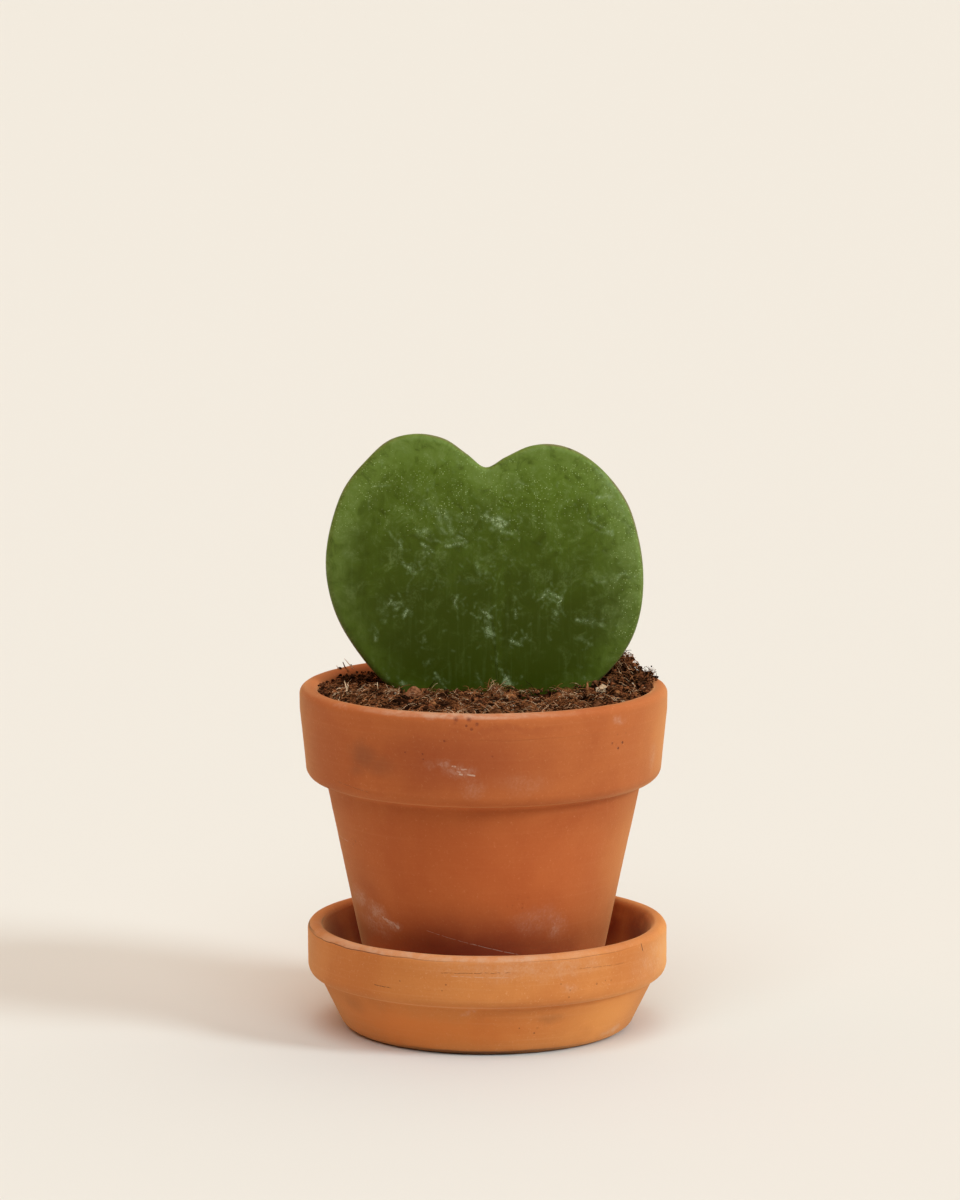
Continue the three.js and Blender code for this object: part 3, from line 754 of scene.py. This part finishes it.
# Chalky strokes on the front: where each starts and how far it runs, across and up, in tenths of a
# millimetre, then half its width and its thickness in hundredths.
CHALK = [
    (-144, 1296, -8, -20, 43, 55), (-136, 1291, 7, -17, 38, 50), (-110, 1269, 6, -24, 66, 60),
    (-93, 1269, 7, -29, 66, 75), (-84, 1240, 8, -20, 66, 60), (-103, 1230, 12, -12, 47, 60),
    (-63, 1262, 33, -8, 43, 50), (-67, 1250, 33, -6, 38, 40), (-157, 1218, 21, 5, 76, 75),
    (-148, 1211, 19, -12, 43, 60), (-148, 1191, 25, -19, 43, 95), (-136, 1172, 7, -12, 33, 70),
    (-91, 1186, 24, 3, 43, 90), (-67, 1189, 24, 7, 43, 90), (-63, 1211, 17, -10, 33, 65),
    (-119, 1201, 28, -10, 38, 50), (-110, 1172, 19, -7, 38, 40), (-206, 1196, 6, -20, 38, 85),
    (-237, 1225, 9, -7, 38, 45), (-228, 1216, 15, -20, 33, 55), (-195, 1143, 28, -22, 47, 85),
    (-180, 1128, 9, -7, 47, 80), (-157, 1149, 5, -17, 47, 50), (-129, 1143, 7, -5, 28, 50),
    (-115, 1102, 17, -5, 38, 45), (-183, 1095, -3, -29, 33, 40), (-238, 1044, 36, 0, 47, 80),
    (-226, 1053, 14, -21, 43, 85), (-216, 1032, 11, 7, 38, 70), (-193, 1015, 7, 14, 43, 95),
    (-259, 1032, 21, -10, 38, 50), (-238, 1005, -2, -7, 43, 50), (-252, 1017, 19, -2, 38, 40),
    (-65, 1062, -6, -13, 33, 75), (-71, 1049, 6, -14, 33, 75), (-56, 1051, 8, -12, 33, 40),
    (-18, 1143, 8, -22, 47, 60), (6, 1121, 8, -2, 43, 60), (-44, 1099, 29, 5, 76, 40),
    (-1, 1027, 15, -14, 43, 95), (11, 998, 0, -29, 66, 80), (-264, 961, 1, -6, 43, 90),
    (-267, 986, 6, -8, 38, 50), (-145, 964, 2, -10, 43, 60), (-150, 937, 2, -2, 33, 40),
    (-140, 894, 8, 14, 38, 60), (-118, 874, 13, -19, 38, 85), (-105, 855, 14, -20, 28, 60),
    (-238, 871, 6, -11, 38, 55), (-200, 850, 5, -3, 43, 95), (-270, 908, 2, -5, 33, 40),
    (-16, 874, 11, -26, 38, 45), (-337, 1165, 19, -5, 57, 40), (-280, 1304, 2, -31, 24, 50),
    (-266, 1331, 38, 2, 33, 50), (-252, 1392, 6, -6, 28, 60), (-195, 1424, 6, -15, 28, 40),
    (-122, 1392, 7, -14, 33, 50), (-136, 1328, 3, -11, 38, 60), (-181, 1329, 6, -7, 33, 50),
    (-65, 1409, 2, -24, 43, 50), (-63, 1385, 15, 5, 38, 45), (8, 1361, 6, -19, 33, 40),
    (3, 1262, 18, -8, 43, 95), (20, 1254, 9, -14, 57, 100), (35, 1254, 18, -14, 62, 100),
    (29, 1240, 19, -7, 57, 90), (20, 1228, 33, -8, 62, 55), (58, 1218, 19, -2, 38, 70),
    (77, 1223, 11, -3, 33, 50), (81, 1258, 10, -4, 33, 50), (-8, 1264, 5, -10, 38, 70),
    (275, 1303, 38, 4, 38, 85), (299, 1312, 14, -14, 38, 80), (259, 1315, 9, -3, 33, 50),
    (285, 1322, 19, 5, 33, 40), (256, 1247, 29, -13, 28, 75), (285, 1234, 29, -16, 28, 75),
    (299, 1220, 14, -8, 43, 70), (275, 1220, 19, -4, 33, 50), (264, 1257, 8, -5, 33, 50),
    (245, 1282, 4, -13, 28, 50), (77, 1337, 9, 7, 33, 60), (86, 1344, 11, -7, 33, 60),
    (81, 1327, 16, 2, 33, 45), (124, 1315, 9, -2, 33, 40), (214, 1291, 9, -5, 33, 50),
    (161, 1228, 4, -5, 28, 45), (185, 1183, 7, -4, 28, 55), (273, 1183, 5, -5, 28, 55),
    (292, 1172, 6, -10, 28, 45), (67, 1152, 10, 0, 28, 50), (13, 1150, 12, -2, 28, 40),
    (358, 1165, 7, -8, 38, 40), (323, 1099, 8, 14, 38, 65), (331, 1113, 11, 5, 38, 70),
    (342, 1118, 14, -12, 38, 65), (356, 1109, 20, 3, 38, 60), (275, 1099, 24, -2, 43, 60),
    (271, 1107, 23, 2, 38, 45), (247, 1095, 17, -6, 43, 40), (142, 1060, 10, 13, 38, 90),
    (152, 1073, 6, 7, 33, 80), (158, 1073, 16, -8, 43, 90), (174, 1065, 16, -9, 43, 95),
    (188, 1056, -5, -13, 38, 90), (162, 1056, 19, -7, 38, 60), (171, 1029, 6, -12, 52, 75),
    (169, 1012, 12, -7, 47, 55), (3, 1024, 16, -11, 43, 95), (-8, 1029, 7, -7, 33, 50),
    (77, 1029, 1, -18, 33, 95), (228, 1005, 21, -6, 43, 80), (249, 1002, 26, -7, 43, 80),
    (275, 995, 20, -6, 38, 75), (256, 1010, 19, -5, 33, 45), (10, 981, 11, -12, 66, 95),
    (21, 969, 6, -20, 38, 55), (5, 973, 5, -9, 43, 60), (66, 954, 10, -3, 38, 85),
    (76, 950, 12, -3, 43, 90), (93, 957, 10, 5, 38, 80), (234, 959, 15, -7, 47, 50),
    (249, 952, 13, -9, 43, 60), (31, 915, 1, -14, 33, 60), (49, 852, 6, 13, 38, 110),
    (55, 865, 7, -15, 43, 125), (51, 848, 14, 1, 38, 120), (58, 881, 3, -10, 28, 50),
    (244, 864, 5, -4, 33, 60), (323, 989, 5, -3, 33, 45), (285, 1366, 47, -87, 130, 50),
    (334, 1274, 30, -63, 110, 50), (310, 1330, 10, -70, 100, 40),
]
CHIPS = 3  # small flakes strewn round each stroke
CHIP_SPREAD = 1.3
CHIP_HALF = 0.3
CHIP_THICK = 0.6
STREWN = 200  # and over the whole front
STREWN_Z = 121
STREWN_SPREAD = 13
STREWN_THICK = (0.25, 0.5)
CHIP_RUN = (0.3, 1.3)
BRUSH_WIDTH = 1.15  # a stroke is drawn wider and fainter than its row says
BRUSH_STRENGTH = 0.95
BRUSH_REACH = 2.2  # in half widths, as is the next
BRUSH_STEP = 0.7
BRUSH_FALL = 0.7
# Specks lie thickest high up and at the right, but not on the very top.
DUST_LEAST = 0.1
DUST_MORE = 0.38
DUST_UP = (105, 22)  # where it starts to thicken and over how far
DUST_RIGHT = (24, 10)
DUST_LESS = 0.35
DUST_TOP = (138, 8)


def curve_point(four, share):
    """A point this far between the middle two of four corners, on the smooth line through all."""
    knots = [0]
    for before, after in zip(four, four[1:]):
        knots.append(knots[-1] + math.sqrt((after - before).length))
    at = knots[1] + (knots[2] - knots[1]) * share
    points = four
    for spans in (((0, 1), (1, 2), (2, 3)), ((0, 2), (1, 3)), ((1, 2),)):
        shares = [(at - knots[low]) / (knots[high] - knots[low]) for low, high in spans]
        points = [before.lerp(after, part)
                  for before, after, part in zip(points, points[1:], shares)]
    return points[0]


def leaf_loop():
    """Points evenly spaced round the outline, each with its direction inwards."""
    corners = [Vector((x, 0, z)) for x, z in LEAF_OUTLINE]
    fine = []
    for place in range(len(corners)):
        four = [corners[(place + step - 1) % len(corners)] for step in range(4)]
        fine += [curve_point(four, step / CURVE_STEPS) for step in range(CURVE_STEPS)]
    lengths = [0]
    for before, after in zip(fine, fine[1:] + fine[:1]):
        lengths.append(lengths[-1] + (after - before).length)
    loop = []
    index = 0
    for step in range(LEAF_STEPS):
        along = lengths[-1] * step / LEAF_STEPS
        while lengths[index + 1] < along:
            index += 1
        before = fine[index % len(fine)]
        after = fine[(index + 1) % len(fine)]
        share = (along - lengths[index]) / (lengths[index + 1] - lengths[index])
        direction = (after - before).normalized()
        loop.append((before.lerp(after, share), Vector((direction.z, 0, -direction.x))))
    return loop


def chip(draw, x, z, spread, thick):
    """A short chalky stroke at random, this far round a place."""
    x = draw.gauss(x, spread)
    z = draw.gauss(z, spread)
    turn = draw.uniform(0, math.pi)
    run = draw.uniform(*CHIP_RUN)
    return x, z, x + run * math.cos(turn), z + run * math.sin(turn), CHIP_HALF, thick


def chalk_strokes():
    """The strokes of the table, with chips round each of them and more over the whole front."""
    draw = random.Random(LEAF_SEED)
    drawn = [(x / 10, z / 10, (x + run) / 10, (z + rise) / 10, half / 100, thick / 100)
             for x, z, run, rise, half, thick in CHALK]
    strokes = drawn[:]
    for x0, z0, x1, z1, _, thick in drawn:
        middle = (x0 + x1) / 2, (z0 + z1) / 2
        for _ in range(CHIPS):
            strokes.append(chip(draw, *middle, CHIP_SPREAD, thick * CHIP_THICK))
    for _ in range(STREWN):
        strokes.append(chip(draw, 0, STREWN_Z, STREWN_SPREAD, draw.uniform(*STREWN_THICK)))
    return strokes


def brush_chalk(bm, chalk):
    """Lays the strokes on the front, thinner away from the middle of each."""
    front = [vert for vert in bm.verts if vert.normal.y < 0.2]
    nearby = kdtree.KDTree(len(front))
    for place, vert in enumerate(front):
        nearby.insert((vert.co.x, 0, vert.co.z), place)
    nearby.balance()
    for x0, z0, x1, z1, half, thick in chalk_strokes():
        half *= BRUSH_WIDTH
        thick *= BRUSH_STRENGTH
        start, end = Vector((x0, 0, z0)), Vector((x1, 0, z1))
        steps = max(1, math.ceil((end - start).length / (half * BRUSH_STEP)))
        for step in range(steps + 1):
            at = start.lerp(end, step / steps)
            for _, place, far in nearby.find_range(at, half * BRUSH_REACH):
                amount = thick * math.exp(-(far / half) ** 2 * BRUSH_FALL)
                front[place][chalk] = max(front[place][chalk], amount)


def leaf():
    loop = leaf_loop()
    bm = bmesh.new()
    mark = bm.verts.layers.int.new("place")
    margin, chalk, dust = [bm.verts.layers.float.new(name) for name in LEAF_LAYERS]
    bmesh.ops.create_circle(bm, cap_ends=False, radius=1, segments=LEAF_STEPS)
    bm.verts.ensure_lookup_table()
    vert = bm.verts[0]
    edge = vert.link_edges[0]
    for step in range(LEAF_STEPS):
        vert[mark] = step
        vert = edge.other_vert(vert)
        edge = next(e for e in vert.link_edges if e != edge)

    def settle(vert, inset, near, half, side):
        at, inward = loop[vert[mark]]
        spot = (at + inward * inset).lerp(LEAF_HEART, near)
        across = spot.x - LEAF_MIDRIB
        middle = LEAF_Y + LEAF_LEAN * (spot.z - SOIL_Z) + LEAF_BEND * across ** 2
        if side < 0 and near > 0:
            crease_x = CREASE_X + CREASE_SLOPE * (spot.z - 100)
            fade = 1 / (1 + math.exp((spot.z - CREASE_TOP_Z) / CREASE_FADE))
            half -= CREASE_DEEP * fade * math.exp(-((spot.x - crease_x) / CREASE_WIDE) ** 2)
        if near > 0:
            half += min(1, near * 6) * RIPPLE_HIGH * wavy(spot, RIPPLE_SIZE, 4.0 + side)
        vert.co = Vector((spot.x, middle + side * half, spot.z))
        vert[margin] = inset + near * (at - LEAF_HEART).length

    rim = bm.edges[:]
    for vert in bm.verts:
        settle(vert, 0, 0, 0, 0)
    for side, ring_count in ((-1, FRONT_RINGS), (1, BACK_RINGS)):
        edges = rim
        rings = [(LEAF_MARGIN * share, 0, LEAF_EDGE_HALF * math.sqrt(1 - (1 - share) ** 2))
                 for share in EDGE_SHARES]
        for step in range(1, ring_count + 1):
            near = step / ring_count
            swell = LEAF_EDGE_HALF + (LEAF_HEART_HALF - LEAF_EDGE_HALF) * (1 - (1 - near) ** 2)
            rings.append((LEAF_MARGIN, near, swell))
        for inset, near, half in rings:
            grown = bmesh.ops.extrude_edge_only(bm, edges=edges)["geom"]
            edges = [e for e in grown if isinstance(e, bmesh.types.BMEdge)]
            for vert in (v for v in grown if isinstance(v, bmesh.types.BMVert)):
                settle(vert, inset, near, half, side)
    bmesh.ops.remove_doubles(bm, verts=bm.verts, dist=1e-3)
    bmesh.ops.recalc_face_normals(bm, faces=bm.faces)

    brush_chalk(bm, chalk)
    for vert in bm.verts:
        upper, right = [max(0, min(1, (value - start) / over)) for value, (start, over)
                        in ((vert.co.z, DUST_UP), (vert.co.x, DUST_RIGHT))]
        top_z, over = DUST_TOP
        bare = DUST_LESS * max(0, (vert.co.z - top_z) / over)
        vert[dust] = DUST_LEAST + DUST_MORE * max(upper, right) - bare
    bmesh.ops.translate(bm, verts=bm.verts, vec=(POT_X, 0, 0))
    place_piece("hoya_blade", bm, [leaf_skin()], "leaf", "hoya_leaf")


# ---- Soil ----

CRUMB_SEED = 7
COIR_SEED = 11
LUMP_SEED = 5
LUMP_WAVES = (0.8, 0.25)  # in radii
LUMP_COARSE = 0.45
LUMP_FINE = 0.18
CLUMP_HIGH = 1.1
BRIM_GAP = 1.2
SOIL_SUNK = 0.9  # the bed lies lower by this, and the crumbs fill it
RIM_MIDDLE_R = 43.0
BATCH = 80  # lumps worked on at a time, because a small mesh is quicker
CRUMB_TONES = {  # in their dents, as painted shade, and on top
    "dark": ((0.009, 0.003, 0.001), (0.06, 0.019, 0.007)),
    "red": ((0.055, 0.015, 0.005), (0.33, 0.105, 0.04)),
    "brown": ((0.03, 0.01, 0.004), (0.21, 0.08, 0.034)),
    "orange": ((0.13, 0.042, 0.013), (0.5, 0.2, 0.075)),
    "white": ((0.4, 0.28, 0.18), (0.74, 0.62, 0.48)),
}
KINDS = list(CRUMB_TONES)
RICH_MIX = (4, 6, 7, 2, 0)  # shares of these kinds
# darker crumbs for random dark patches, and for painted shade at the rear left
DARK_PATCH_AND_SHADE_MIX = (7, 4, 4, 0, 0)
RICH_HEAP = (3, 6, 7, 2, 0)
# darker crumbs as painted shade on the heaps at the left and rear left
PAINTED_SHADE_HEAP = (9, 3, 3, 0, 0)
FINE_FROM = 1.2  # crumbs of this size have more faces
HEAP_SMALLEST = 0.16
HEAP_RANGE = 0.45
CRUMB_GROUPS = [  # how many, smallest and largest radius, how deep they sit
    (80, 1, 1.9, 0.25),
    (850, 0.5, 1.1, 0.1),
    (3200, 0.22, 0.5, -0.4),
]
COIR_TONES = {
    "dark": ((0.01, 0.003, 0.001), (0.06, 0.019, 0.006)),
    "rust": ((0.1, 0.03, 0.008), (0.46, 0.17, 0.064)),
    "straw": ((0.4, 0.19, 0.08), (1, 0.68, 0.42)),
}
COIR_GROUPS = [  # kind, how many, shortest, longest, radius, steepest start, curl
    ("dark", 1200, 1.5, 5, 0.1, 0.8, 0.7),
    ("rust", 3400, 1, 3.8, 0.095, 0.8, 0.8),
    ("straw", 900, 0.9, 3.2, 0.065, 1, 0.7),
]
TUFT_THREAD_R = 0.08
THREAD_STEPS = 4
TIP_THINNER = 0.6
WALL_CLEAR = 0.8
NEAR_WALL_R = 34  # past this a thread turns back from the wall
# Tufts of coir and heaps of crumbs: how many, the middle and how far they reach each way.
TUFTS = {
    "dark": [(70, (38.4, 5.6, 85.4), (1.8, 2.2, 0.5))],
    "rust": [(90, (3, -5.4, 83.2), (0.8, 0.8, 0.7)), (80, (38.4, 5.6, 85.4), (1.8, 2.2, 0.5)),
             (60, (34, 6, 88.4), (1.5, 1.2, 0.6))],
    "straw": [(20, (3, -5.6, 84), (0.9, 0.8, 0.6)), (18, (33.5, 5, 88), (1.5, 1.2, 0.8)),
              (10, (-34.5, -4, 82.8), (1, 2.5, 0.3))],
}
HEAPS = [
    (170, (38.6, 5.6, 85.2), (1.7, 2.2, 0.45)),
    (80, (34.6, 6.2, 88.2), (1.4, 1.2, 0.6)),
    (60, (31.6, 4.6, 87.6), (1.1, 0.9, 0.8)),
    (90, (39.2, -2, 83.8), (0.6, 3.4, 0.4)),
    (70, (40.3, -1, 84.4), (0.4, 2.6, 0.25)),
    (480, (-28, 26, 81.7), (5, 4, 0.7)),
    (300, (-36, 15, 82.4), (1.2, 6, 0.5)),
    (90, (-38.8, -1, 83.3), (0.7, 5, 0.3)),
]
# Threads seen one by one: radius, and the points they pass, across from the pot's axis.
LONE_THREADS = {
    "dark": [
        (0.12, [(34, 7, 89), (33.6, 7.2, 90.2), (33.2, 7.3, 91)]),
    ],
    "rust": [
        (0.28, [(-33.6, 23.2, 84), (-34.5, 24.6, 84.9), (-35, 25.2, 86)]),
        (0.3, [(34.6, 5, 89.3), (35.2, 4.9, 88.7), (35.5, 4.8, 87.6)]),
        (0.22, [(33.4, 5.8, 90), (34.3, 5.8, 90.2), (35, 5.8, 90)]),
    ],
    "straw": [
        (0.26, [(-33.4, -3.2, 82.6), (-33.4, -3.3, 84), (-33.9, -3.4, 86)]),
        (0.19, [(-33.3, -3.2, 82.9), (-33.2, -3.1, 83.9), (-32.9, -3, 85)]),
        (0.16, [(-34.2, -10.9, 82.7), (-34.3, -10.6, 83.4), (-33.9, -10.2, 84)]),
        (0.12, [(-35.9, -2, 83.6), (-35, -1.6, 83.9), (-34, -1.2, 83.2)]),
        (0.18, [(-25.8, -2.2, 82.7), (-25.8, -2.2, 84), (-25.9, -2.1, 85.4)]),
        (0.09, [(-25.9, -2.1, 84.6), (-26.3, -2.2, 85), (-26.8, -2.2, 84.9)]),
        (0.11, [(22.7, -17.5, 83.4), (24.2, -18.9, 83.7), (25.7, -21.3, 83.2)]),
        (0.1, [(36.2, -0.7, 85.2), (36.9, -2.6, 84.6), (36.2, -5, 83.6)]),
        (0.09, [(37.9, -5.4, 83.9), (39.7, -2, 84.4), (41, 0.2, 84.6)]),
        (0.16, [(-32.4, 23.4, 84.6), (-33.6, 24.3, 85.8), (-34.6, 24.8, 86.9)]),
        (0.19, [(-35.4, 21.4, 83.6), (-36.1, 22.2, 84.8), (-36.5, 22.4, 85.6)]),
        (0.05, [(40.6, 6.9, 85.6), (40.8, 7, 86.6), (41.1, 7, 87.6)]),
        (0.16, [(33.1, 6.2, 90.6), (33.3, 6.2, 89.8), (33.3, 6.2, 89.2)]),
    ],
}
# Bits seen one by one: kind, place, half sizes.
LONE_BITS = [
    ("orange", (25.2, -5, 84.4), (0.45, 0.3, 1.5)), ("orange", (25.5, -5.2, 83.2), (0.5, 0.4, 0.9)),
    ("orange", (32.4, -7, 83.7), (0.8, 0.5, 0.7)), ("orange", (32.3, 4.5, 88.6), (0.6, 0.4, 0.8)),
    ("red", (33.2, -5.5, 84.2), (0.7, 0.5, 0.8)), ("red", (29, 2, 86.6), (0.7, 0.5, 0.8)),
    ("dark", (40.5, 6, 86.4), (1.2, 0.4, 0.4)), ("dark", (42, 5.2, 85.5), (0.9, 0.4, 0.35)),
    ("dark", (41.2, 6.9, 87.9), (0.22, 0.22, 0.22)), ("dark", (35.9, 6.2, 89.9), (0.8, 0.3, 0.3)),
    ("dark", (38.3, 6.2, 87.6), (0.9, 0.5, 0.5)), ("white", (-21.4, -6.5, 83.4), (0.35, 0.3, 0.3)),
    ("white", (0.3, -30.2, 83.4), (0.3, 0.25, 0.25)), ("white", (7, -23.2, 83.2), (0.22, 0.2, 0.2)),
    ("white", (36.4, -1.6, 85), (0.22, 0.2, 0.2)), ("red", (3, -5.4, 84), (1.2, 0.8, 1.2)),
    ("brown", (-35.6, 22.6, 84.9), (0.5, 0.4, 0.3)), ("orange", (-12, -20, 83.2), (0.7, 0.5, 0.5)),
]


def hill(shape, x, y):
    at_x, at_y, high, wide = shape
    return high * math.exp(-((x - at_x) ** 2 + (y - at_y) ** 2) / wide ** 2)


def soil_level(x, y):
    """The height of the soil, its clumps smoothed away."""
    return SOIL_Z + hill(MOUND, x, y) + hill(HOLLOW, x, y)


def soil_height(x, y):
    spot = Vector((x, y, 0))
    return soil_level(x, y) + CLUMP_HIGH * (wavy(spot, 4.2, 1) + 0.5 * wavy(spot, 1.9, 2))


def wall_r(z):
    """The pot's inner wall, up to where its rim starts to round."""
    wider = POT_MOUTH_R - POT_SHOULDER_R
    return POT_SHOULDER_R + wider * (z - POT_NECK_Z) / (POT_RIM_Z - POT_NECK_Z)


def soil_bed():
    section = [
        (0, POT_FLOOR_Z),
        (POT_FLOOR_R - GAP, POT_FLOOR_Z, 4),
        (POT_SHOULDER_R - GAP, POT_NECK_Z),
        (wall_r(SOIL_Z) - GAP, SOIL_Z),
        (0, SOIL_Z),
    ]
    bm = turned(section, turn_steps=256, cut=0.7)
    bed_r = wall_r(SOIL_Z) - GAP
    for vert in bm.verts:
        x, y, z = vert.co
        if z < POT_NECK_Z + 0.1:
            continue
        across = math.hypot(x, y)
        out = bed_r / max(across, 0.1)
        brim = min(soil_level(x * out, y * out), POT_RIM_Z - BRIM_GAP)
        if z > SOIL_Z - 0.05:
            rough = 0.3 * wavy(vert.co.copy(), 0.9, 3)
            edge = min(1, (bed_r - across) / 2)
            wide = (wall_r(brim) - GAP) / bed_r
            z = (soil_height(x, y) + rough - SOIL_SUNK) * edge + brim * (1 - edge)
        else:
            z = POT_NECK_Z + (z - POT_NECK_Z) * (brim - POT_NECK_Z) / (SOIL_Z - POT_NECK_Z)
            wide = (wall_r(z) - GAP) / across
        vert.co = (x * wide, y * wide, z)
    bmesh.ops.translate(bm, verts=bm.verts, vec=(POT_X, 0, 0))
    look = soil_stuff("peat", (0.005, 0.0015, 0.0005), (0.05, 0.015, 0.004), bump=0.6)
    place_piece("soil_bed", bm, [look], "soil", "soil")


def soil_spot(draw, margin):
    """A random place on the soil at least this far from the wall."""
    reach = (POT_MOUTH_R - WALL_CLEAR - margin) * math.sqrt(draw.random())
    turn = draw.random() * math.tau
    x, y = reach * math.cos(turn), reach * math.sin(turn)
    return Vector((x, y, soil_height(x, y)))


def lump(bm, draw, at, size, detail=1, squash=0.8):
    """A broken crumb: a small ball pushed about, squashed and turned."""
    verts = bmesh.ops.create_icosphere(bm, subdivisions=detail, radius=size)["verts"]
    seed = draw.random() * 90
    for vert in verts:
        coarse, fine = [wavy(vert.co, size * wide, seed) for wide in LUMP_WAVES]
        vert.co *= 1 + LUMP_COARSE * coarse + LUMP_FINE * fine
    bmesh.ops.scale(bm, verts=verts, vec=(1, draw.uniform(0.6, 1), squash))
    turn = Euler([draw.uniform(-0.6, 0.6), draw.uniform(-0.6, 0.6), draw.uniform(0, math.tau)])
    bmesh.ops.rotate(bm, verts=verts, cent=(0, 0, 0), matrix=turn.to_matrix())
    bmesh.ops.translate(bm, verts=verts, vec=at)
    return verts


def any_kind(draw, mix):
    return draw.choices(range(len(KINDS)), mix)[0]


def color_lump(verts, kind):
    for face in {face for vert in verts for face in vert.link_faces}:
        face.material_index = kind


def add_batch(whole, part):
    spare = bpy.data.meshes.new("spare")
    part.to_mesh(spare)
    part.free()
    whole.from_mesh(spare)
    bpy.data.meshes.remove(spare)


def soil_crumbs():
    draw = random.Random(CRUMB_SEED)
    whole = bmesh.new()
    for count, small, large, sunk in CRUMB_GROUPS:
        for done in range(0, count, BATCH):
            part = bmesh.new()
            for _ in range(min(BATCH, count - done)):
                size = small + (large - small) * draw.random() ** 2
                at = soil_spot(draw, size)
                at.z -= size * sunk
                verts = lump(part, draw, at, size, 2 if size > FINE_FROM else 1)
                # crumbs in random dark patches, and at the rear left as painted shade, take the
                # darker mix
                rich = wavy(at, 5, 7) > -0.1 and (at.x > -20 or at.y < 2)
                color_lump(verts, any_kind(draw, RICH_MIX if rich else DARK_PATCH_AND_SHADE_MIX))
            add_batch(whole, part)
    part = bmesh.new()
    for count, place, spread in HEAPS:
        for _ in range(count):
            at = Vector([draw.gauss(middle, wide) for middle, wide in zip(place, spread)])
            if at.z < POT_RIM_Z - 1.0:
                at.xy *= min(1, (wall_r(at.z) - GAP) / at.xy.length)
            verts = lump(part, draw, at, HEAP_SMALLEST + HEAP_RANGE * draw.random() ** 1.5)
            # heaps at the left take the darker mix as painted shade
            color_lump(verts, any_kind(draw, RICH_HEAP if at.x > 0 else PAINTED_SHADE_HEAP))
    for kind, place, halves in LONE_BITS:
        verts = lump(part, draw, Vector((0, 0, 0)), 1, detail=2, squash=1)
        bmesh.ops.scale(part, verts=verts, vec=halves)
        bmesh.ops.translate(part, verts=verts, vec=place)
        color_lump(verts, KINDS.index(kind))
    add_batch(whole, part)
    bmesh.ops.translate(whole, verts=whole.verts, vec=(POT_X, 0, 0))
    looks = [soil_stuff("crumb_" + kind, *tones) for kind, tones in CRUMB_TONES.items()]
    place_piece("soil_crumbs", whole, looks, "soil", smooth=False)


def fibre_path(draw, root, length, turn, lift, curl):
    """Points along a thread that leaves its root, wanders sideways and droops."""
    points = [root - Vector((math.cos(turn), math.sin(turn), 0.4)) * 0.5]
    spot = root.copy()
    for _ in range(THREAD_STEPS):
        points.append(spot.copy())
        level = math.cos(lift)
        direction = Vector((math.cos(turn) * level, math.sin(turn) * level, math.sin(lift)))
        spot = spot + direction * (length / THREAD_STEPS)
        turn += draw.uniform(-curl, curl)
        lift -= draw.uniform(0, 0.45)
    points.append(spot)
    return points


def threads(name, paths, look):
    """Thin round threads, given as a radius and a path, thinner towards their tips, as one mesh."""
    curve = bpy.data.curves.new(name, "CURVE")
    curve.dimensions = "3D"
    curve.bevel_depth = MM
    curve.bevel_resolution = 0
    curve.use_fill_caps = True
    for radius, path in paths:
        spline = curve.splines.new("POLY")
        spline.points.add(len(path) - 1)
        for place, spot in enumerate(path):
            spline.points[place].co = ((spot[0] + POT_X) * MM, spot[1] * MM, spot[2] * MM, 1)
            spline.points[place].radius = radius * (1 - TIP_THINNER * place / (len(path) - 1))
    holder = new_object(name, curve)
    mesh = bpy.data.meshes.new_from_object(holder)
    bpy.data.objects.remove(holder)
    bm = bmesh.new()
    bm.from_mesh(mesh)
    bpy.data.meshes.remove(mesh)
    bmesh.ops.remove_doubles(bm, verts=bm.verts, dist=1e-7)
    bmesh.ops.recalc_face_normals(bm, faces=bm.faces)
    bm.transform(Matrix.Scale(1 / MM, 4))
    place_piece(name, bm, [look], "soil")


def coir():
    draw = random.Random(COIR_SEED)
    looks = {kind: soil_stuff("coir_" + kind, *tones) for kind, tones in COIR_TONES.items()}
    for name, count, short, long, radius, steep, curl in COIR_GROUPS:
        paths = LONE_THREADS[name][:]
        for _ in range(count):
            root = soil_spot(draw, 1)
            if wavy(root, 5, 7) < -0.2:
                continue
            root.z += draw.uniform(0, 1.2)
            length = short + (long - short) * draw.random() ** 1.5
            turn = draw.random() * math.tau
            if root.xy.length > NEAR_WALL_R:
                turn = math.atan2(root.y, root.x) + math.pi * draw.uniform(0.45, 1.55)
            path = fibre_path(draw, root, length, turn, draw.uniform(-0.1, steep), curl)
            paths.append((radius * draw.uniform(0.7, 1.3), path))
        for tuft_count, place, spread in TUFTS[name]:
            for _ in range(tuft_count):
                root = Vector([draw.gauss(middle, wide) for middle, wide in zip(place, spread)])
                length, turn = draw.uniform(1.2, 3.2), draw.random() * math.tau
                path = fibre_path(draw, root, length, turn, 1, 0.9)
                for spot in path:
                    spot.xy *= min(1, RIM_MIDDLE_R / spot.xy.length)
                paths.append((TUFT_THREAD_R, path))
        threads("coir_" + name, paths, looks[name])


def lone_lumps():
    draw = random.Random(LUMP_SEED)
    bark = soil_stuff("bark_skin", (0.11, 0.034, 0.013), (0.4, 0.155, 0.07), bump=0.6, scale=900)
    perlite = soil_stuff("perlite_skin", (0.54, 0.33, 0.18), (1, 0.79, 0.55), bump=0.8, scale=1300)
    lumps = [
        ("bark_piece", BARK_SPOT, BARK_SIZE, -0.1, bark, "bark", "bark_lump"),
        ("perlite_grain", PERLITE_SPOT, PERLITE_SIZE, 0.35, perlite, "perlite", "perlite_chip"),
    ]
    for name, spot, size, lift, look, slot, node in lumps:
        bm = bmesh.new()
        x, y = spot
        lump(bm, draw, Vector((x + POT_X, y, soil_level(x, y) + lift)), size, detail=4, squash=0.85)
        place_piece(name, bm, [look], slot, node)


camera_and_floor()
studio_light()
saucer()
pot()
leaf()
soil_bed()
soil_crumbs()
coir()
lone_lumps()
